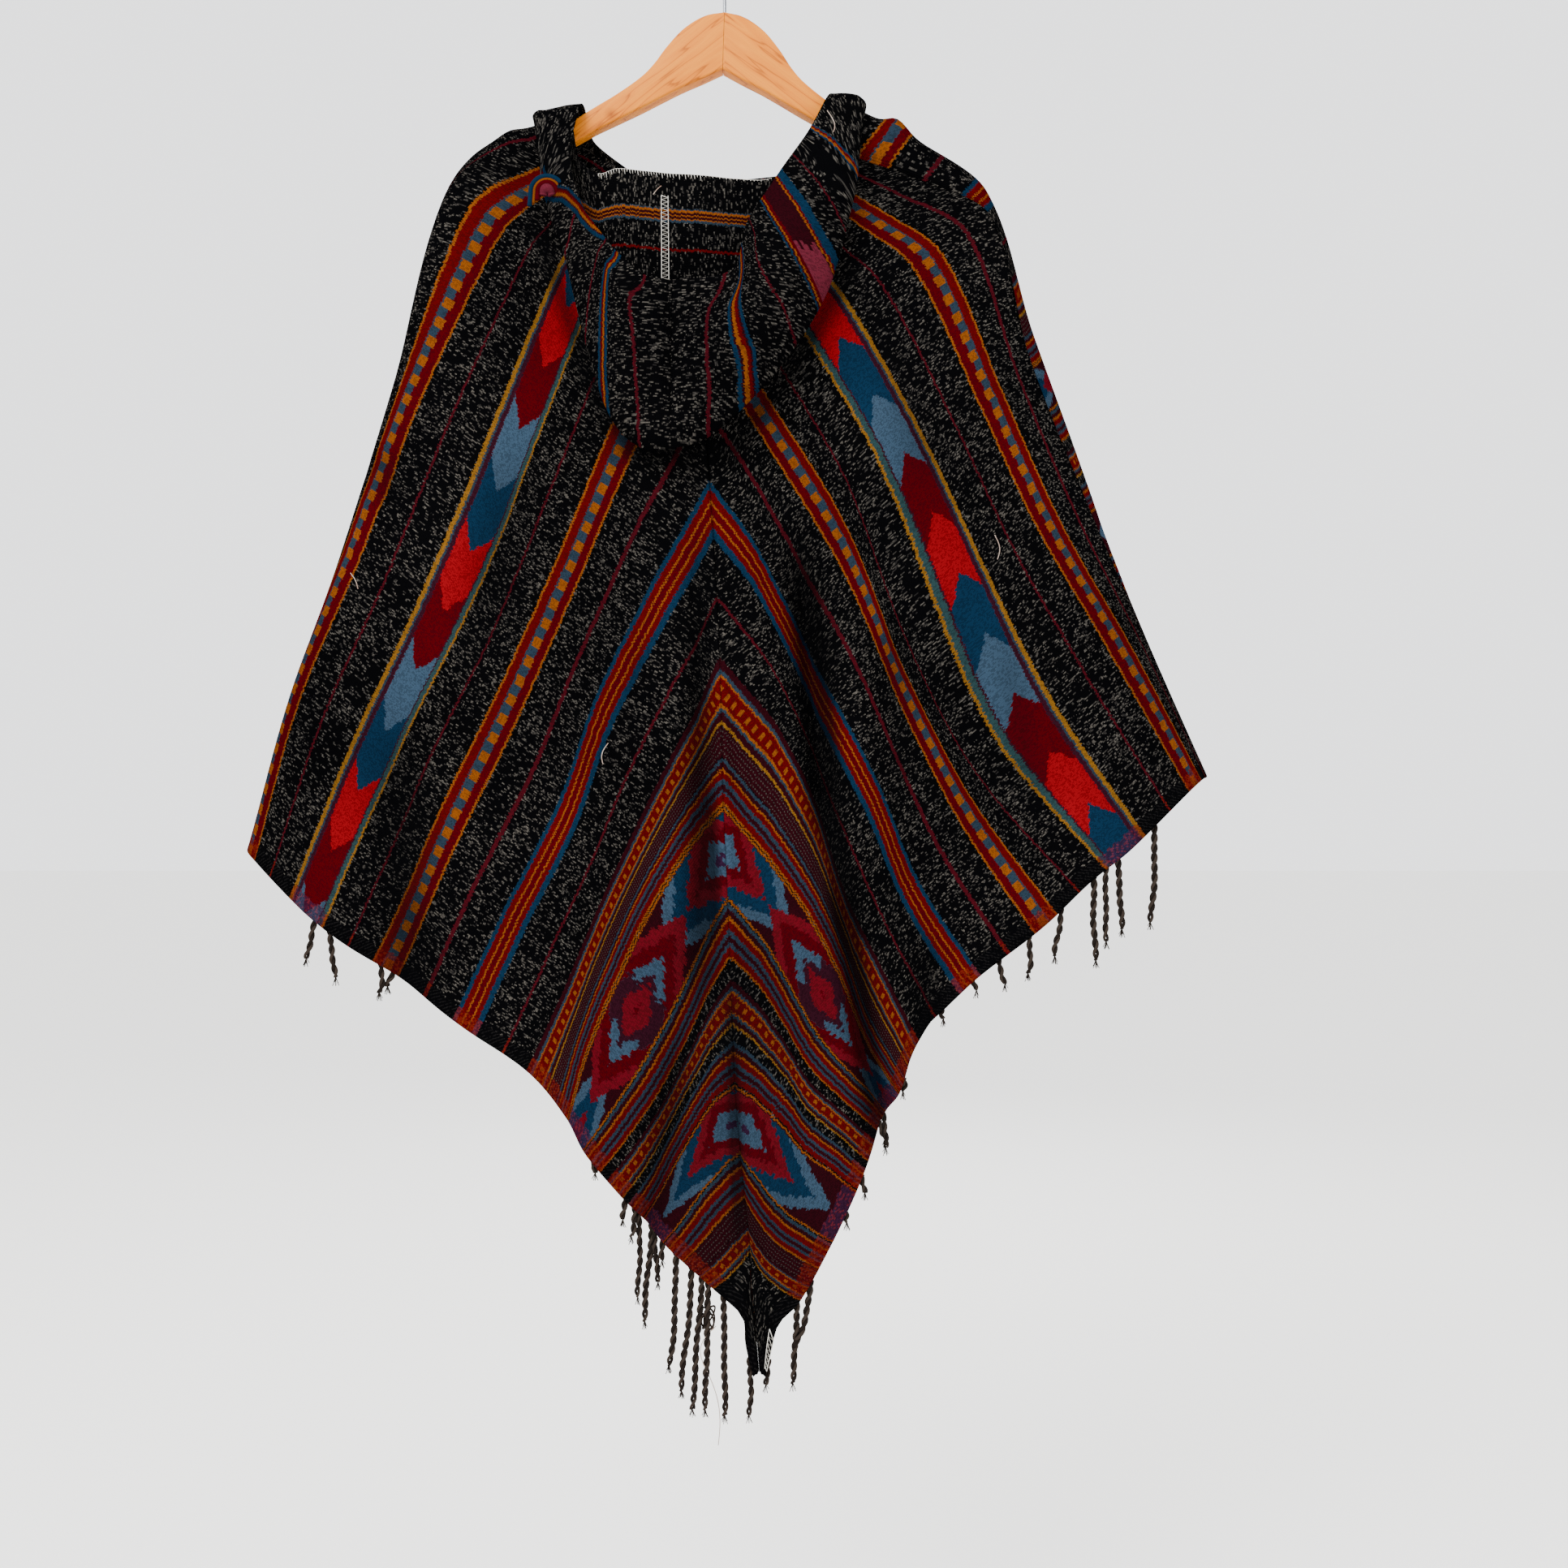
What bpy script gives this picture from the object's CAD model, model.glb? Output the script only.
# Looks of a hooded poncho on a wooden coat hanger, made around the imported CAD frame.
# The tables repeat part.mjs, in millimetres. Meshes are in metres, in the CAD frame.
import math

import bpy
import numpy as np
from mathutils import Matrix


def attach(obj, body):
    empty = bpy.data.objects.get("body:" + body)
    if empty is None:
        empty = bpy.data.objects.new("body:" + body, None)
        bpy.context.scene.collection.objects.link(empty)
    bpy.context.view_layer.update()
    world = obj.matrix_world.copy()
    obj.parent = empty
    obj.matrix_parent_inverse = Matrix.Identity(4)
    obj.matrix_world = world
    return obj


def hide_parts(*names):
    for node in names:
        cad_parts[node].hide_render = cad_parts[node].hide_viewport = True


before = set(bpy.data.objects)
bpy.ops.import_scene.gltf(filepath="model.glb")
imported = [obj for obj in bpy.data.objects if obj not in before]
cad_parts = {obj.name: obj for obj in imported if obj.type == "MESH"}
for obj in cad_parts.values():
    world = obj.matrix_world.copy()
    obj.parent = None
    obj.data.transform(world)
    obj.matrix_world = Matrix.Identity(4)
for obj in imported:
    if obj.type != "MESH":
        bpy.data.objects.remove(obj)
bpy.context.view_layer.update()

MM = 0.001
CIRCLE = 2 * math.pi
BODY = "root"
CLOTH = 2.0
SEAM_GAP = 0.1

# Woven panels: right-angled triangles of cloth with stripes parallel to the side seam.
# stripe is the distance from the centre tip along the hem.
TIP_STRIPE, NECK_STRIPE, SIDE_STRIPE = 3, 585, 790
ALONG = [0, 0.12, 0.2, 0.4, 0.6, 0.8, 1]

# Columns: stripe, turn at neck, turn at hem, then x and z at each place of ALONG.
# turn is 0 on the back layer, 0.5 on the fold or shoulder ridge and 1 on the front layer.
BACK_RIGHT = [
    [3, 0, 0, 29, -1178, 30, -1178, 30, -1179, 31, -1180, 32, -1180, 33, -1181, 34, -1182],
    [24, 0, 0, 25, -1133, 26, -1137, 27, -1140, 30, -1145, 33, -1150, 36, -1155, 39, -1160],
    [38, 0, 0, 22, -1104, 25, -1108, 27, -1111, 32, -1119, 37, -1126, 41, -1133, 45, -1139],
    [48, 0, 0, 22, -1087, 25, -1093, 27, -1097, 34, -1106, 42, -1113, 51, -1119, 60, -1124],
    [119, 0, 0, 14, -1005, 20, -1015, 25, -1022, 37, -1039, 52, -1054, 69, -1065, 87, -1076],
    [166, 0, 0, 9, -940, 22, -949, 30, -956, 49, -975, 66, -996, 88, -1012, 109, -1029],
    [247, 0, 0, 4, -805, 21, -824, 32, -837, 53, -873, 74, -910, 102, -942, 130, -973],
    [295, 0, 0, 0, -716, 22, -742, 37, -759, 69, -804, 94, -854, 114, -905, 143, -952],
    [364, 0, 0, -3, -604, 25, -636, 43, -658, 74, -721, 96, -787, 126, -850, 157, -913],
    [436, 0, 0, -10, -481, 22, -523, 39, -554, 78, -633, 118, -712, 152, -793, 199, -866],
    [525, 0, 0, -25, -313, 12, -373, 37, -412, 98, -512, 143, -619, 195, -723, 260, -818],
    [585, 0, 0, -33, -215, 6, -285, 36, -329, 102, -443, 149, -567, 210, -684, 298, -782],
    [622, 0, 0, -13, -213, 35, -275, 70, -314, 135, -423, 191, -540, 251, -655, 327, -759],
    [720, 0, 0.15, 62, -204, 123, -244, 166, -276, 215, -383, 264, -493, 326, -598, 384, -705],
    [790, 0.08, 0.5, 95, -187, 166, -210, 218, -236, 251, -351, 297, -467, 347, -582, 398, -698],
]
BACK_LEFT = [
    [3, 0, 0, 29, -1178, 28, -1178, 28, -1179, 27, -1180, 26, -1180, 25, -1181, 24, -1182],
    [24, 0, 0, 25, -1133, 24, -1136, 24, -1139, 22, -1144, 21, -1149, 19, -1153, 18, -1157],
    [38, 0, 0, 22, -1104, 21, -1107, 20, -1110, 19, -1117, 18, -1123, 16, -1128, 15, -1133],
    [48, 0, 0, 22, -1087, 19, -1091, 17, -1094, 12, -1100, 7, -1105, 1, -1110, -5, -1114],
    [119, 0, 0, 14, -1005, 5, -1012, 0, -1017, -13, -1031, -24, -1046, -35, -1061, -47, -1076],
    [166, 0, 0, 9, -940, -4, -950, -11, -958, -26, -982, -39, -1006, -52, -1031, -67, -1054],
    [247, 0, 0, 4, -805, -9, -829, -18, -846, -37, -887, -59, -928, -84, -966, -111, -1003],
    [295, 0, 0, 0, -716, -24, -742, -37, -761, -66, -811, -90, -864, -112, -918, -127, -973],
    [364, 0, 0, -3, -604, -22, -643, -35, -669, -67, -733, -97, -797, -126, -866, -158, -936],
    [436, 0, 0, -10, -481, -37, -529, -55, -561, -95, -643, -125, -729, -168, -813, -209, -901],
    [525, 0, 0, -25, -313, -57, -376, -79, -417, -124, -526, -171, -634, -223, -742, -274, -854],
    [585, 0, 0, -33, -215, -82, -279, -103, -328, -151, -453, -201, -577, -260, -698, -313, -828],
    [622, 0, 0, -71, -211, -113, -277, -134, -324, -180, -445, -230, -564, -286, -683, -339, -807],
    [715, 0, 0.15, -117, -199, -181, -241, -206, -283, -259, -398, -302, -516, -350, -634, -384, -763],
    [750, 0.1, 0.5, -127, -180, -204, -198, -234, -240, -271, -370, -311, -498, -353, -627, -393, -757],
    [772, 0.13, 0.75, -129, -160, -204, -189, -235, -233, -269, -365, -305, -497, -348, -628, -395, -757],
    [790, 0.5, 0.9, -128, -151, -203, -180, -234, -224, -265, -359, -296, -494, -341, -627, -395, -755],
]
FRONT_RIGHT = [
    [3, 1, 1, 28, -1172, 29, -1172, 29, -1173, 30, -1174, 31, -1175, 32, -1176, 33, -1176],
    [44, 1, 1, 22, -1092, 25, -1096, 27, -1099, 32, -1107, 37, -1113, 43, -1119, 49, -1124],
    [166, 1, 1, 7, -938, 19, -948, 27, -956, 48, -974, 68, -992, 88, -1010, 109, -1028],
    [364, 1, 1, -6, -593, 18, -628, 33, -652, 66, -715, 95, -780, 124, -845, 156, -909],
    [525, 1, 1, -17, -325, 16, -383, 39, -422, 97, -518, 146, -619, 199, -718, 261, -811],
    [585, 1, 1, -18, -243, 22, -306, 52, -345, 114, -453, 165, -566, 225, -674, 298, -775],
    [640, 1, 1, 21, -215, 74, -268, 106, -306, 163, -416, 211, -532, 269, -642, 338, -745],
    [720, 0.92, 0.92, 81, -172, 149, -204, 192, -241, 233, -349, 273, -468, 323, -584, 385, -694],
    [742, 0.87, 0.93, 95, -151, 164, -186, 213, -221, 249, -334, 292, -457, 333, -580, 387, -699],
    [758, 0.5, 0.75, 96, -142, 165, -177, 215, -213, 254, -328, 298, -451, 339, -574, 393, -693],
    [776, 0.13, 0.6, 97, -151, 166, -186, 216, -222, 253, -340, 299, -459, 344, -578, 397, -696],
    BACK_RIGHT[-1],
]
FRONT_LEFT = [
    [3, 1, 1, 28, -1172, 27, -1172, 27, -1173, 26, -1174, 25, -1175, 24, -1176, 23, -1176],
    [44, 1, 1, 22, -1092, 20, -1096, 18, -1099, 14, -1105, 11, -1110, 8, -1114, 5, -1118],
    [166, 1, 1, 7, -938, -2, -952, -9, -961, -24, -984, -38, -1008, -53, -1031, -68, -1055],
    [364, 1, 1, -6, -593, -25, -632, -38, -658, -69, -723, -100, -789, -129, -859, -158, -932],
    [525, 1, 1, -17, -325, -56, -382, -76, -423, -123, -529, -173, -633, -225, -738, -276, -848],
    [585, 1, 1, -18, -243, -75, -295, -102, -339, -157, -456, -210, -574, -264, -694, -316, -820],
    [640, 1, 1, -62, -205, -120, -258, -145, -304, -195, -425, -245, -546, -298, -668, -350, -793],
    [720, 0.92, 0.92, -117, -176, -182, -217, -210, -254, -252, -372, -291, -499, -337, -623, -377, -757],
    [772, 0.87, 0.95, -128, -160, -203, -189, -234, -233, -260, -361, -291, -496, -337, -629, -391, -757],
    BACK_LEFT[-1],
]
LAYER = {"neck": 13, "hem": 29, "from": -190, "to": -900}
TURN_DONE = 0.4

# Columns: x and z where a fold starts, x and z where it ends, half width, depth.
BACK_FOLDS = [
    [-17, -459, -19, -928, 13, 12],
    [-9, -500, 8, -960, 9, -8],
    [58, -470, 88, -790, 13, 24],
    [88, -740, 136, -1040, 12, 20],
    [100, -560, 128, -800, 24, -13],
    [-260, -640, -256, -960, 24, 12],
    [-96, -560, -131, -900, 36, -10],
    [-29, -880, -70, -1120, 13, 9],
    [-285, -430, -262, -480, 15, 7],
    [132, -560, 140, -740, 18, 9],
    [205, -270, 300, -640, 26, -8],
    [158, -800, 178, -1020, 12, 12],
    [-170, -420, -205, -640, 22, 7],
    [-222, -190, -150, -214, 8, 3],
    [110, -196, 165, -232, 8, 3],
]
FRONT_FOLDS = [
    [-40, -330, -70, -1000, 30, 10],
    [50, -330, 110, -900, 30, 11],
    [-150, -330, -220, -860, 32, 9],
    [170, -330, 250, -800, 32, 9],
    [5, -500, 20, -1150, 24, 7],
]
# Share of a fold's length over which it fades in and out, and the depth that is darkest
FOLD_FADE = 0.3
FOLD_FULL = 16

# Puffs of the shoulders: the cloth stands up beside the hood.
# Columns: x of the top, half width, rise, z below which nothing is raised.
PUFFS = [
    [143, 11, 9, -200],
    [-178, 11, 4, -200],
]
PUFF_FADE = 40

# Small creases that only the scene has. Same columns.
BACK_CREASES = [
    [-190, -205, -120, -245, 5, 1.6],
    [-205, -225, -150, -300, 6, 1.8],
    [-222, -240, -190, -340, 7, -2.0],
    [120, -215, 150, -290, 6, -1.8],
    [150, -225, 205, -320, 7, 2.0],
    [190, -245, 235, -350, 7, -1.8],
    [-60, -450, -110, -620, 10, 2.4],
    [30, -450, 60, -560, 8, 2.2],
    [-300, -480, -330, -600, 9, 2.0],
    [-190, -700, -215, -880, 12, -2.6],
    [-150, -640, -160, -820, 9, 2.0],
    [230, -460, 262, -640, 11, 2.6],
    [180, -560, 215, -760, 10, -2.6],
    [300, -560, 345, -700, 9, 2.2],
    [40, -840, 70, -1020, 9, 3.0],
    [10, -860, 30, -1080, 7, -2.2],
    [-5, -960, 10, -1130, 7, 2.2],
    [-100, -900, -110, -1000, 9, 2.6],
]
FRONT_CREASES = [
    [-210, -260, -170, -380, 9, 2.4],
    [200, -260, 180, -380, 9, 2.4],
    [0, -420, -20, -640, 12, -2.6],
    [110, -500, 150, -700, 12, -2.6],
    [-120, -520, -150, -760, 12, 2.6],
    [40, -760, 60, -1000, 10, 2.6],
]

# Columns: place round the neck, neck seam x y z, pouch bottom x y z, face edge x y z,
# thickness of the pouch, bulge of its outer layer, way that layer faces in degrees.
HOOD_RIGHT = [
    [0, -44, -17, -207, -41, -42, -435, -39, -58, -305, 36, 3, 0],
    [1, -20, -17, -208, -12, -42, -426, -7, -60, -304, 36, 10, 0],
    [2, 9, -17, -211, 22, -40, -396, 12, -56, -293, 32, 12, 0],
    [3, 38, -17, -211, 61, -36, -347, 20, -50, -257, 26, 10, 0],
    [4, 65, -17, -195, 86, -31, -298, 40, -40, -222, 18, 8, 5],
    [5, 82, -16, -173, 105, -26, -227, 66, -29, -181, 12, 5, 25],
    [5.6, 92, -14, -150, 113, -18, -157.5, 83, -19, -147, 8, 2, 45],
    [6, 95, 0, -138, 116, 0, -145, 88, 0, -137, 6, 1, 90],
    [6.4, 92, 15, -150.5, 112, 21, -159, 83, 21, -147, 8, 2, 135],
    [7, 82, 17, -168, 108, 24, -198, 72, 27, -166, 10, 4, 165],
    [8, 22, 17.5, -217, 48, 25, -262, 14, 29, -214, 10, 3, 180],
    [9, -18, 17.5, -244, -18, 25, -292, -18, 29, -240, 10, 3, 180],
]
HOOD_LEFT = [
    [0, -44, -17, -207, -41, -42, -435, -39, -58, -305, 36, 3, 0],
    [1, -64, -17, -205, -65, -42, -435, -60, -60, -303, 36, 10, 0],
    [2, -87, -17, -203, -90, -40, -409, -81, -56, -285, 32, 12, 0],
    [3, -102, -17, -207, -110, -36, -347, -94, -48, -268, 26, 10, 0],
    [4, -116, -17, -197, -127, -30, -281, -114, -38, -238, 18, 8, 5],
    [5, -121, -16, -182, -144, -25, -230, -124, -29, -199, 12, 5, 25],
    [5.6, -124, -14, -158, -153, -18, -169, -118, -19, -154, 8, 3, 45],
    [6, -125, 0, -146, -157, 0, -154, -116, 0, -144.5, 6, 1, 90],
    [6.4, -124, 15, -158, -153, 21, -169, -114, 21, -155, 8, 3, 135],
    [7, -118, 17, -170, -150, 24, -200, -106, 27, -168, 10, 4, 165],
    [8, -62, 17.5, -211, -86, 25, -256, -52, 29, -208, 10, 3, 180],
    [9, -18, 17.5, -244, -18, 25, -292, -18, 29, -240, 10, 3, 180],
]
POUCH = {"inner_low": 0.08, "outer_low": 0.1, "mid": 0.55}
POUCH_KNOTS = [0, 0.25, 0.46, 0.51, 0.57, 0.79, 1]
POUCH_TURN = 0.51

# Columns: distance from the mitre joint, top edge z, bottom edge z, thickness.
ARM = [
    [0.15, -69.5, -116.5, 15],
    [16, -73, -124.5, 15],
    [33, -84, -132.5, 15],
    [47, -100, -140, 15],
    [56, -113, -145, 15],
    [66, -124, -150.5, 15],
    [86, -139, -161, 14],
    [105, -151, -171, 13],
    [128, -166, -185, 11.6],
    [152, -181, -199, 11],
    [180, -201, -216, 10],
    [202, -218, -230, 9],
    [208, -223, -231, 6],
]
ARM_TILT = 1.8
ARM_ROUND = 2.2
FLAT_LEFT = 0.5
CORNER_STEPS = 6
# The arm's end is rounded from this distance on
ROUND_FROM = 200
APEX_Z = -69.5
ARM_SLOPE = 38
HOOK = {"wire": 1.5, "loop": 23.5, "centre_z": -22, "start_deg": -50, "end_deg": 205}

# Columns: stripe at the root, length, sideways drift, diameter.
STRANDS_LEFT = [
    [609, 32, -8, 4], [593, 38, 3, 4], [532, 24, 1, 4], [519, 13, -4, 4],
    [235, 9, 1, 3.6], [189, 17, -4, 4], [176, 24, -3, 4], [170, 70, 1, 4],
    [147, 79, -6, 4.4], [140, 44, 2, 4], [125, 18, -2, 4], [103, 92, -4, 4.4],
    [80, 101, -7, 4.4], [66, 108, -8, 4.4], [58, 104, -4, 4.4], [45, 98, 0, 4.4], [14, 46, 2, 4],
]
STRANDS_RIGHT = [
    [14, 20, -3, 4], [48, 66, -5, 4.4], [72, 53, -11, 4.4], [144, 9, 1, 3.6], [176, 15, 2, 4],
    [234, 14, 3, 3.6], [247, 30, 2, 4], [312, 11, 1, 3.6], [402, 8, 1, 3.6], [441, 9, 2, 3.6],
    [471, 20, 3, 4], [506, 30, 1, 4], [546, 39, -4, 4], [588, 68, 1, 4.4], [600, 60, -1, 4],
    [612, 58, 2, 4.4], [657, 79, -1, 4.4],
]

# The camera stands 1.3 m behind the garment's back, at the height of its middle.
# The photo's side in pixels, the millimetres a pixel covers, and the sensor's width.
PHOTO_SIDE = 1932
PHOTO_SCALE = 0.67
SENSOR = 36
CAMERA = {"x": 48.9, "y": -1300, "z": -703.8}


def columns(*parts):
    return np.stack(parts, axis=-1)


def bell(t):
    return np.exp(-t**2)


def unit(v):
    return v / np.maximum(np.linalg.norm(v, axis=-1, keepdims=True), 1e-9)


def ease(t):
    t = np.clip(t, 0, 1)
    return t * t * (3 - 2 * t)


def curve(knots, values, at):
    """A smooth curve through values (first axis) at uneven knots, sampled at the array at."""
    knots = np.asarray(knots, float)
    values = np.asarray(values, float)
    at = np.asarray(at, float)
    last = len(knots) - 1
    below = np.maximum(np.arange(last + 1) - 1, 0)
    above = np.minimum(np.arange(last + 1) + 1, last)
    wide = (knots[above] - knots[below]).reshape((-1,) + (1,) * (values.ndim - 1))
    slope = (values[above] - values[below]) / wide
    i = np.clip(np.searchsorted(knots, at, side="left") - 1, 0, last - 1)
    h = knots[i + 1] - knots[i]
    f = np.clip((at - knots[i]) / h, 0, 1)
    shape = at.shape + (1,) * (values.ndim - 1)
    f, h = f.reshape(shape), h.reshape(shape)
    f2, f3 = f * f, f * f * f
    return ((2 * f3 - 3 * f2 + 1) * values[i] + (f3 - 2 * f2 + f) * h * slope[i]
            + (3 * f2 - 2 * f3) * values[i + 1] + (f3 - f2) * h * slope[i + 1])


def fold_depth(folds, x, z):
    depth = np.zeros_like(x)
    for x0, z0, x1, z1, width, deep in folds:
        dx, dz = x1 - x0, z1 - z0
        long = math.hypot(dx, dz)
        t = ((x - x0) * dx + (z - z0) * dz) / long**2
        off = ((x - x0) * dz - (z - z0) * dx) / long
        fade = ease(t / FOLD_FADE) * ease((1 - t) / FOLD_FADE)
        depth += deep * fade * bell(off / width)
    return depth


def puff_rise(x, z):
    rise = np.zeros_like(x)
    for top, width, high, low in PUFFS:
        rise += high * bell((x - top) / width) * ease((z - low) / PUFF_FADE)
    return rise


# Soft relief of the panels: where it starts, over what height it grows, its size and its height
RELIEF_BELOW = {"z": -230, "over": 120, "back": 60, "front": 70, "high": 0.8}


def ripple(x, z, size, high):
    """Soft uneven relief of the given size in millimetres."""
    a = np.sin(x / size * 5.1 + 1.3 * np.sin(z / size * 1.7))
    b = np.sin(z / size * 3.3 + 1.9 * np.sin(x / size * 2.3 + 0.7))
    c = np.sin((x + z) / size * 2.1 + 0.4)
    return high * (0.5 * a * b + 0.5 * c)


def panel_points(table, stripes, places):
    """Middle points of a panel, as an array of stripe by place by xyz."""
    table = np.array(table, float)
    rows = curve(table[:, 0], table[:, 1:], stripes)
    x, z = (curve(ALONG, rows[:, 2 + k::2].T, places).T for k in (0, 1))
    share = np.clip(np.asarray(places) / TURN_DONE, 0, 1)[None, :]
    turn = np.clip(rows[:, 0:1] * (1 - share) + rows[:, 1:2] * share, 0, 1)
    deep = ease((z - LAYER["from"]) / (LAYER["to"] - LAYER["from"]))
    apart = LAYER["neck"] + (LAYER["hem"] - LAYER["neck"]) * deep
    back = -apart + fold_depth(BACK_FOLDS, x, z)
    front = apart - fold_depth(FRONT_FOLDS, x, z)
    flat = 1 - np.abs(2 * turn - 1) ** 4
    low = ease((RELIEF_BELOW["z"] - z) / RELIEF_BELOW["over"])

    def small(creases, size):
        return (1 - flat) * (fold_depth(creases, x, z) + low * ripple(x, z, size, RELIEF_BELOW["high"]))

    back = back + small(BACK_CREASES, RELIEF_BELOW["back"])
    front = front - small(FRONT_CREASES, RELIEF_BELOW["front"])
    y = back * (1 - turn) + front * turn
    return columns(x, y, z + puff_rise(x, z))


def hood_points(table, rounds, downs):
    table = np.array(table, float)
    row = curve(table[:, 0], table[:, 1:], rounds)
    neck, low, face = row[:, 0:3], row[:, 3:6], row[:, 6:9]
    thick, bulge, facing = row[:, 9:10], row[:, 10:11], np.radians(row[:, 11])
    out = columns(np.zeros_like(facing), -np.cos(facing), np.sin(facing))
    inner, outer = low - out * thick / 2, low + out * thick / 2

    def between(a, b, t):
        return a + (b - a) * t

    stops = np.stack([
        neck,
        between(neck, inner, POUCH["mid"]),
        between(inner, neck, POUCH["inner_low"]),
        low,
        between(outer, face, POUCH["outer_low"]),
        between(outer, face, POUCH["mid"]) + out * bulge,
        face,
    ])
    return np.swapaxes(curve(POUCH_KNOTS, stops, downs), 0, 1)


def normals(points):
    along = np.gradient(points, axis=0)
    down = np.gradient(points, axis=1)
    return unit(np.cross(along, down))


def arc_length(points, axis):
    """Distance along an axis of the grid, from its first point."""
    step = np.linalg.norm(np.diff(points, axis=axis), axis=-1)
    start = np.zeros_like(np.take(step, [0], axis=axis))
    return np.concatenate([start, np.cumsum(step, axis=axis)], axis=axis)


def sampled(at, places, line):
    """Points of a line, whose own points lie at the given places."""
    return np.stack([np.interp(at, places, line[:, k]) for k in range(3)], axis=-1)


def mesh_object(name, verts, faces, material, uv=None, hollow=None):
    """A mesh of quads or triangles. uv has one pair a face corner, hollow one number a vertex."""
    verts = np.asarray(verts, np.float32) * MM
    faces = np.asarray(faces, np.int32)
    count, sides = faces.shape
    mesh = bpy.data.meshes.new(name)
    mesh.vertices.add(len(verts))
    mesh.vertices.foreach_set("co", verts.ravel())
    mesh.loops.add(count * sides)
    mesh.loops.foreach_set("vertex_index", faces.ravel())
    mesh.polygons.add(count)
    mesh.polygons.foreach_set("loop_start", np.arange(0, count * sides, sides, dtype=np.int32))
    mesh.polygons.foreach_set("use_smooth", np.full(count, True))
    if uv is not None:
        layer = mesh.uv_layers.new(name="fabric")
        layer.data.foreach_set("uv", (np.asarray(uv, np.float32)).ravel())
    if hollow is not None:
        layer = mesh.attributes.new("hollow", "FLOAT", "POINT")
        layer.data.foreach_set("value", np.asarray(hollow, np.float32))
    mesh.update(calc_edges=True)
    mesh.validate()
    mesh.materials.append(material)
    obj = bpy.data.objects.new(name, mesh)
    bpy.context.scene.collection.objects.link(obj)
    return obj


def grid_quads(rows, cols, start=0):
    i, j = np.meshgrid(np.arange(rows - 1), np.arange(cols - 1), indexing="ij")
    a = start + i * cols + j
    return columns(a, a + cols, a + cols + 1, a + 1).reshape(-1, 4)


def wall_object(name, points, out, uv, material, choices=(), skin=None, hollow=None):
    """A closed wall of cloth about a grid of middle points, with fabric coordinates in metres."""
    rows, cols = points.shape[:2]
    outer = points + out * CLOTH / 2
    inner = points - out * CLOTH / 2
    if skin is not None:
        outer = outer + out * skin[..., None]
    verts = np.concatenate([outer.reshape(-1, 3), inner.reshape(-1, 3)])
    one = grid_quads(rows, cols)
    two = grid_quads(rows, cols, rows * cols)[:, ::-1]
    at = np.arange(rows * cols).reshape(rows, cols)
    rims = []
    for line, forward in ((at[:, 0], True), (at[:, -1], False), (at[0], False), (at[-1], True)):
        a, b = (line[:-1], line[1:]) if forward else (line[1:], line[:-1])
        rims.append(columns(b, a, a + rows * cols, b + rows * cols))
    faces = np.concatenate([one, two] + rims)
    flat = uv.reshape(-1, 2)
    corner = faces % (rows * cols)
    pair = flat[corner]
    for other, use_other in choices:
        pick = use_other.reshape(-1)[corner].min(axis=1)
        pair[pick] = other.reshape(-1, 2)[corner[pick]]
    first, second, third, fourth = (verts[faces[:, k]] for k in range(4))
    volume = (first * (np.cross(second, third) + np.cross(third, fourth))).sum()
    if volume < 0:
        faces = faces[:, ::-1]
        pair = pair[:, ::-1]
    twice = None if hollow is None else np.tile(hollow.reshape(-1), 2)
    return mesh_object(name, verts, faces, material, pair * MM, twice)


def ring_quads(count, sides):
    """Quads between rings of vertices that follow each other."""
    i, j = np.meshgrid(np.arange(count - 1), np.arange(sides), indexing="ij")
    a = i * sides + j
    b = i * sides + (j + 1) % sides
    return columns(a, b, b + sides, a + sides).reshape(-1, 4)


# Size of a tube's last ring, and how near to y a tube may run before its rings start from x
POINTED = 0.02
STEEP = 0.9


def tube(points, radii, sides):
    """Vertices and quads of a tube along points. The ends are drawn in to a point."""
    points = np.asarray(points, float)
    radii = np.broadcast_to(np.asarray(radii, float), (len(points),))
    points = np.concatenate([points[:1], points, points[-1:]])
    radii = np.concatenate([[radii[0] * POINTED], radii, [radii[-1] * POINTED]])
    tangent = unit(np.gradient(points, axis=0))
    one = unit(np.cross(tangent, [0, 1, 0] if abs(tangent[:, 1]).max() < STEEP else [1, 0, 0]))
    two = np.cross(tangent, one)
    angle = np.arange(sides) * CIRCLE / sides
    ring = (np.cos(angle)[None, :, None] * one[:, None] + np.sin(angle)[None, :, None] * two[:, None])
    verts = (points[:, None] + ring * radii[:, None, None]).reshape(-1, 3)
    return verts, ring_quads(len(points), sides)


def join(parts):
    verts, faces, start = [], [], 0
    for v, f in parts:
        verts.append(v)
        faces.append(f + start)
        start += len(v)
    return np.concatenate(verts), np.concatenate(faces)


# Weave, in millimetres: pitches, length of a pale float, and jitter of the stripes' edges
WEFT = 0.95
WARP = 1.4
FLOAT_LONG = 2.8
RAGGED = 1.6
# Which noise each use of Shader.cells draws from
SEED = {"ragged": 3, "pale": 5, "fine": 8, "shift": 11, "mottle": 17, "twill": 19, "streak": 21,
        "header": 31, "comb": 41}
# Pale dashes: rows shift by up to 7 floats, and a noise of scale 30 makes them denser in patches
HEATHER = {"shift": 7.0, "patches": 30.0, "share": 0.73, "uneven": 0.4, "gaps": 0.2, "contrast": 2.5}
# Darker threads of the coloured bands, and the soft unevenness of the dye
STREAK = {"share": 0.6, "dark": 0.3}
DYE = {"scale": 7.0, "stops": [(0.3, (0.8, 0.8, 0.8, 1)), (0.7, (1.12, 1.1, 1.08, 1))]}
RELIEF = {"weft": 0.35, "warp": 0.25, "fine": 0.9, "pale": 0.7}
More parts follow.
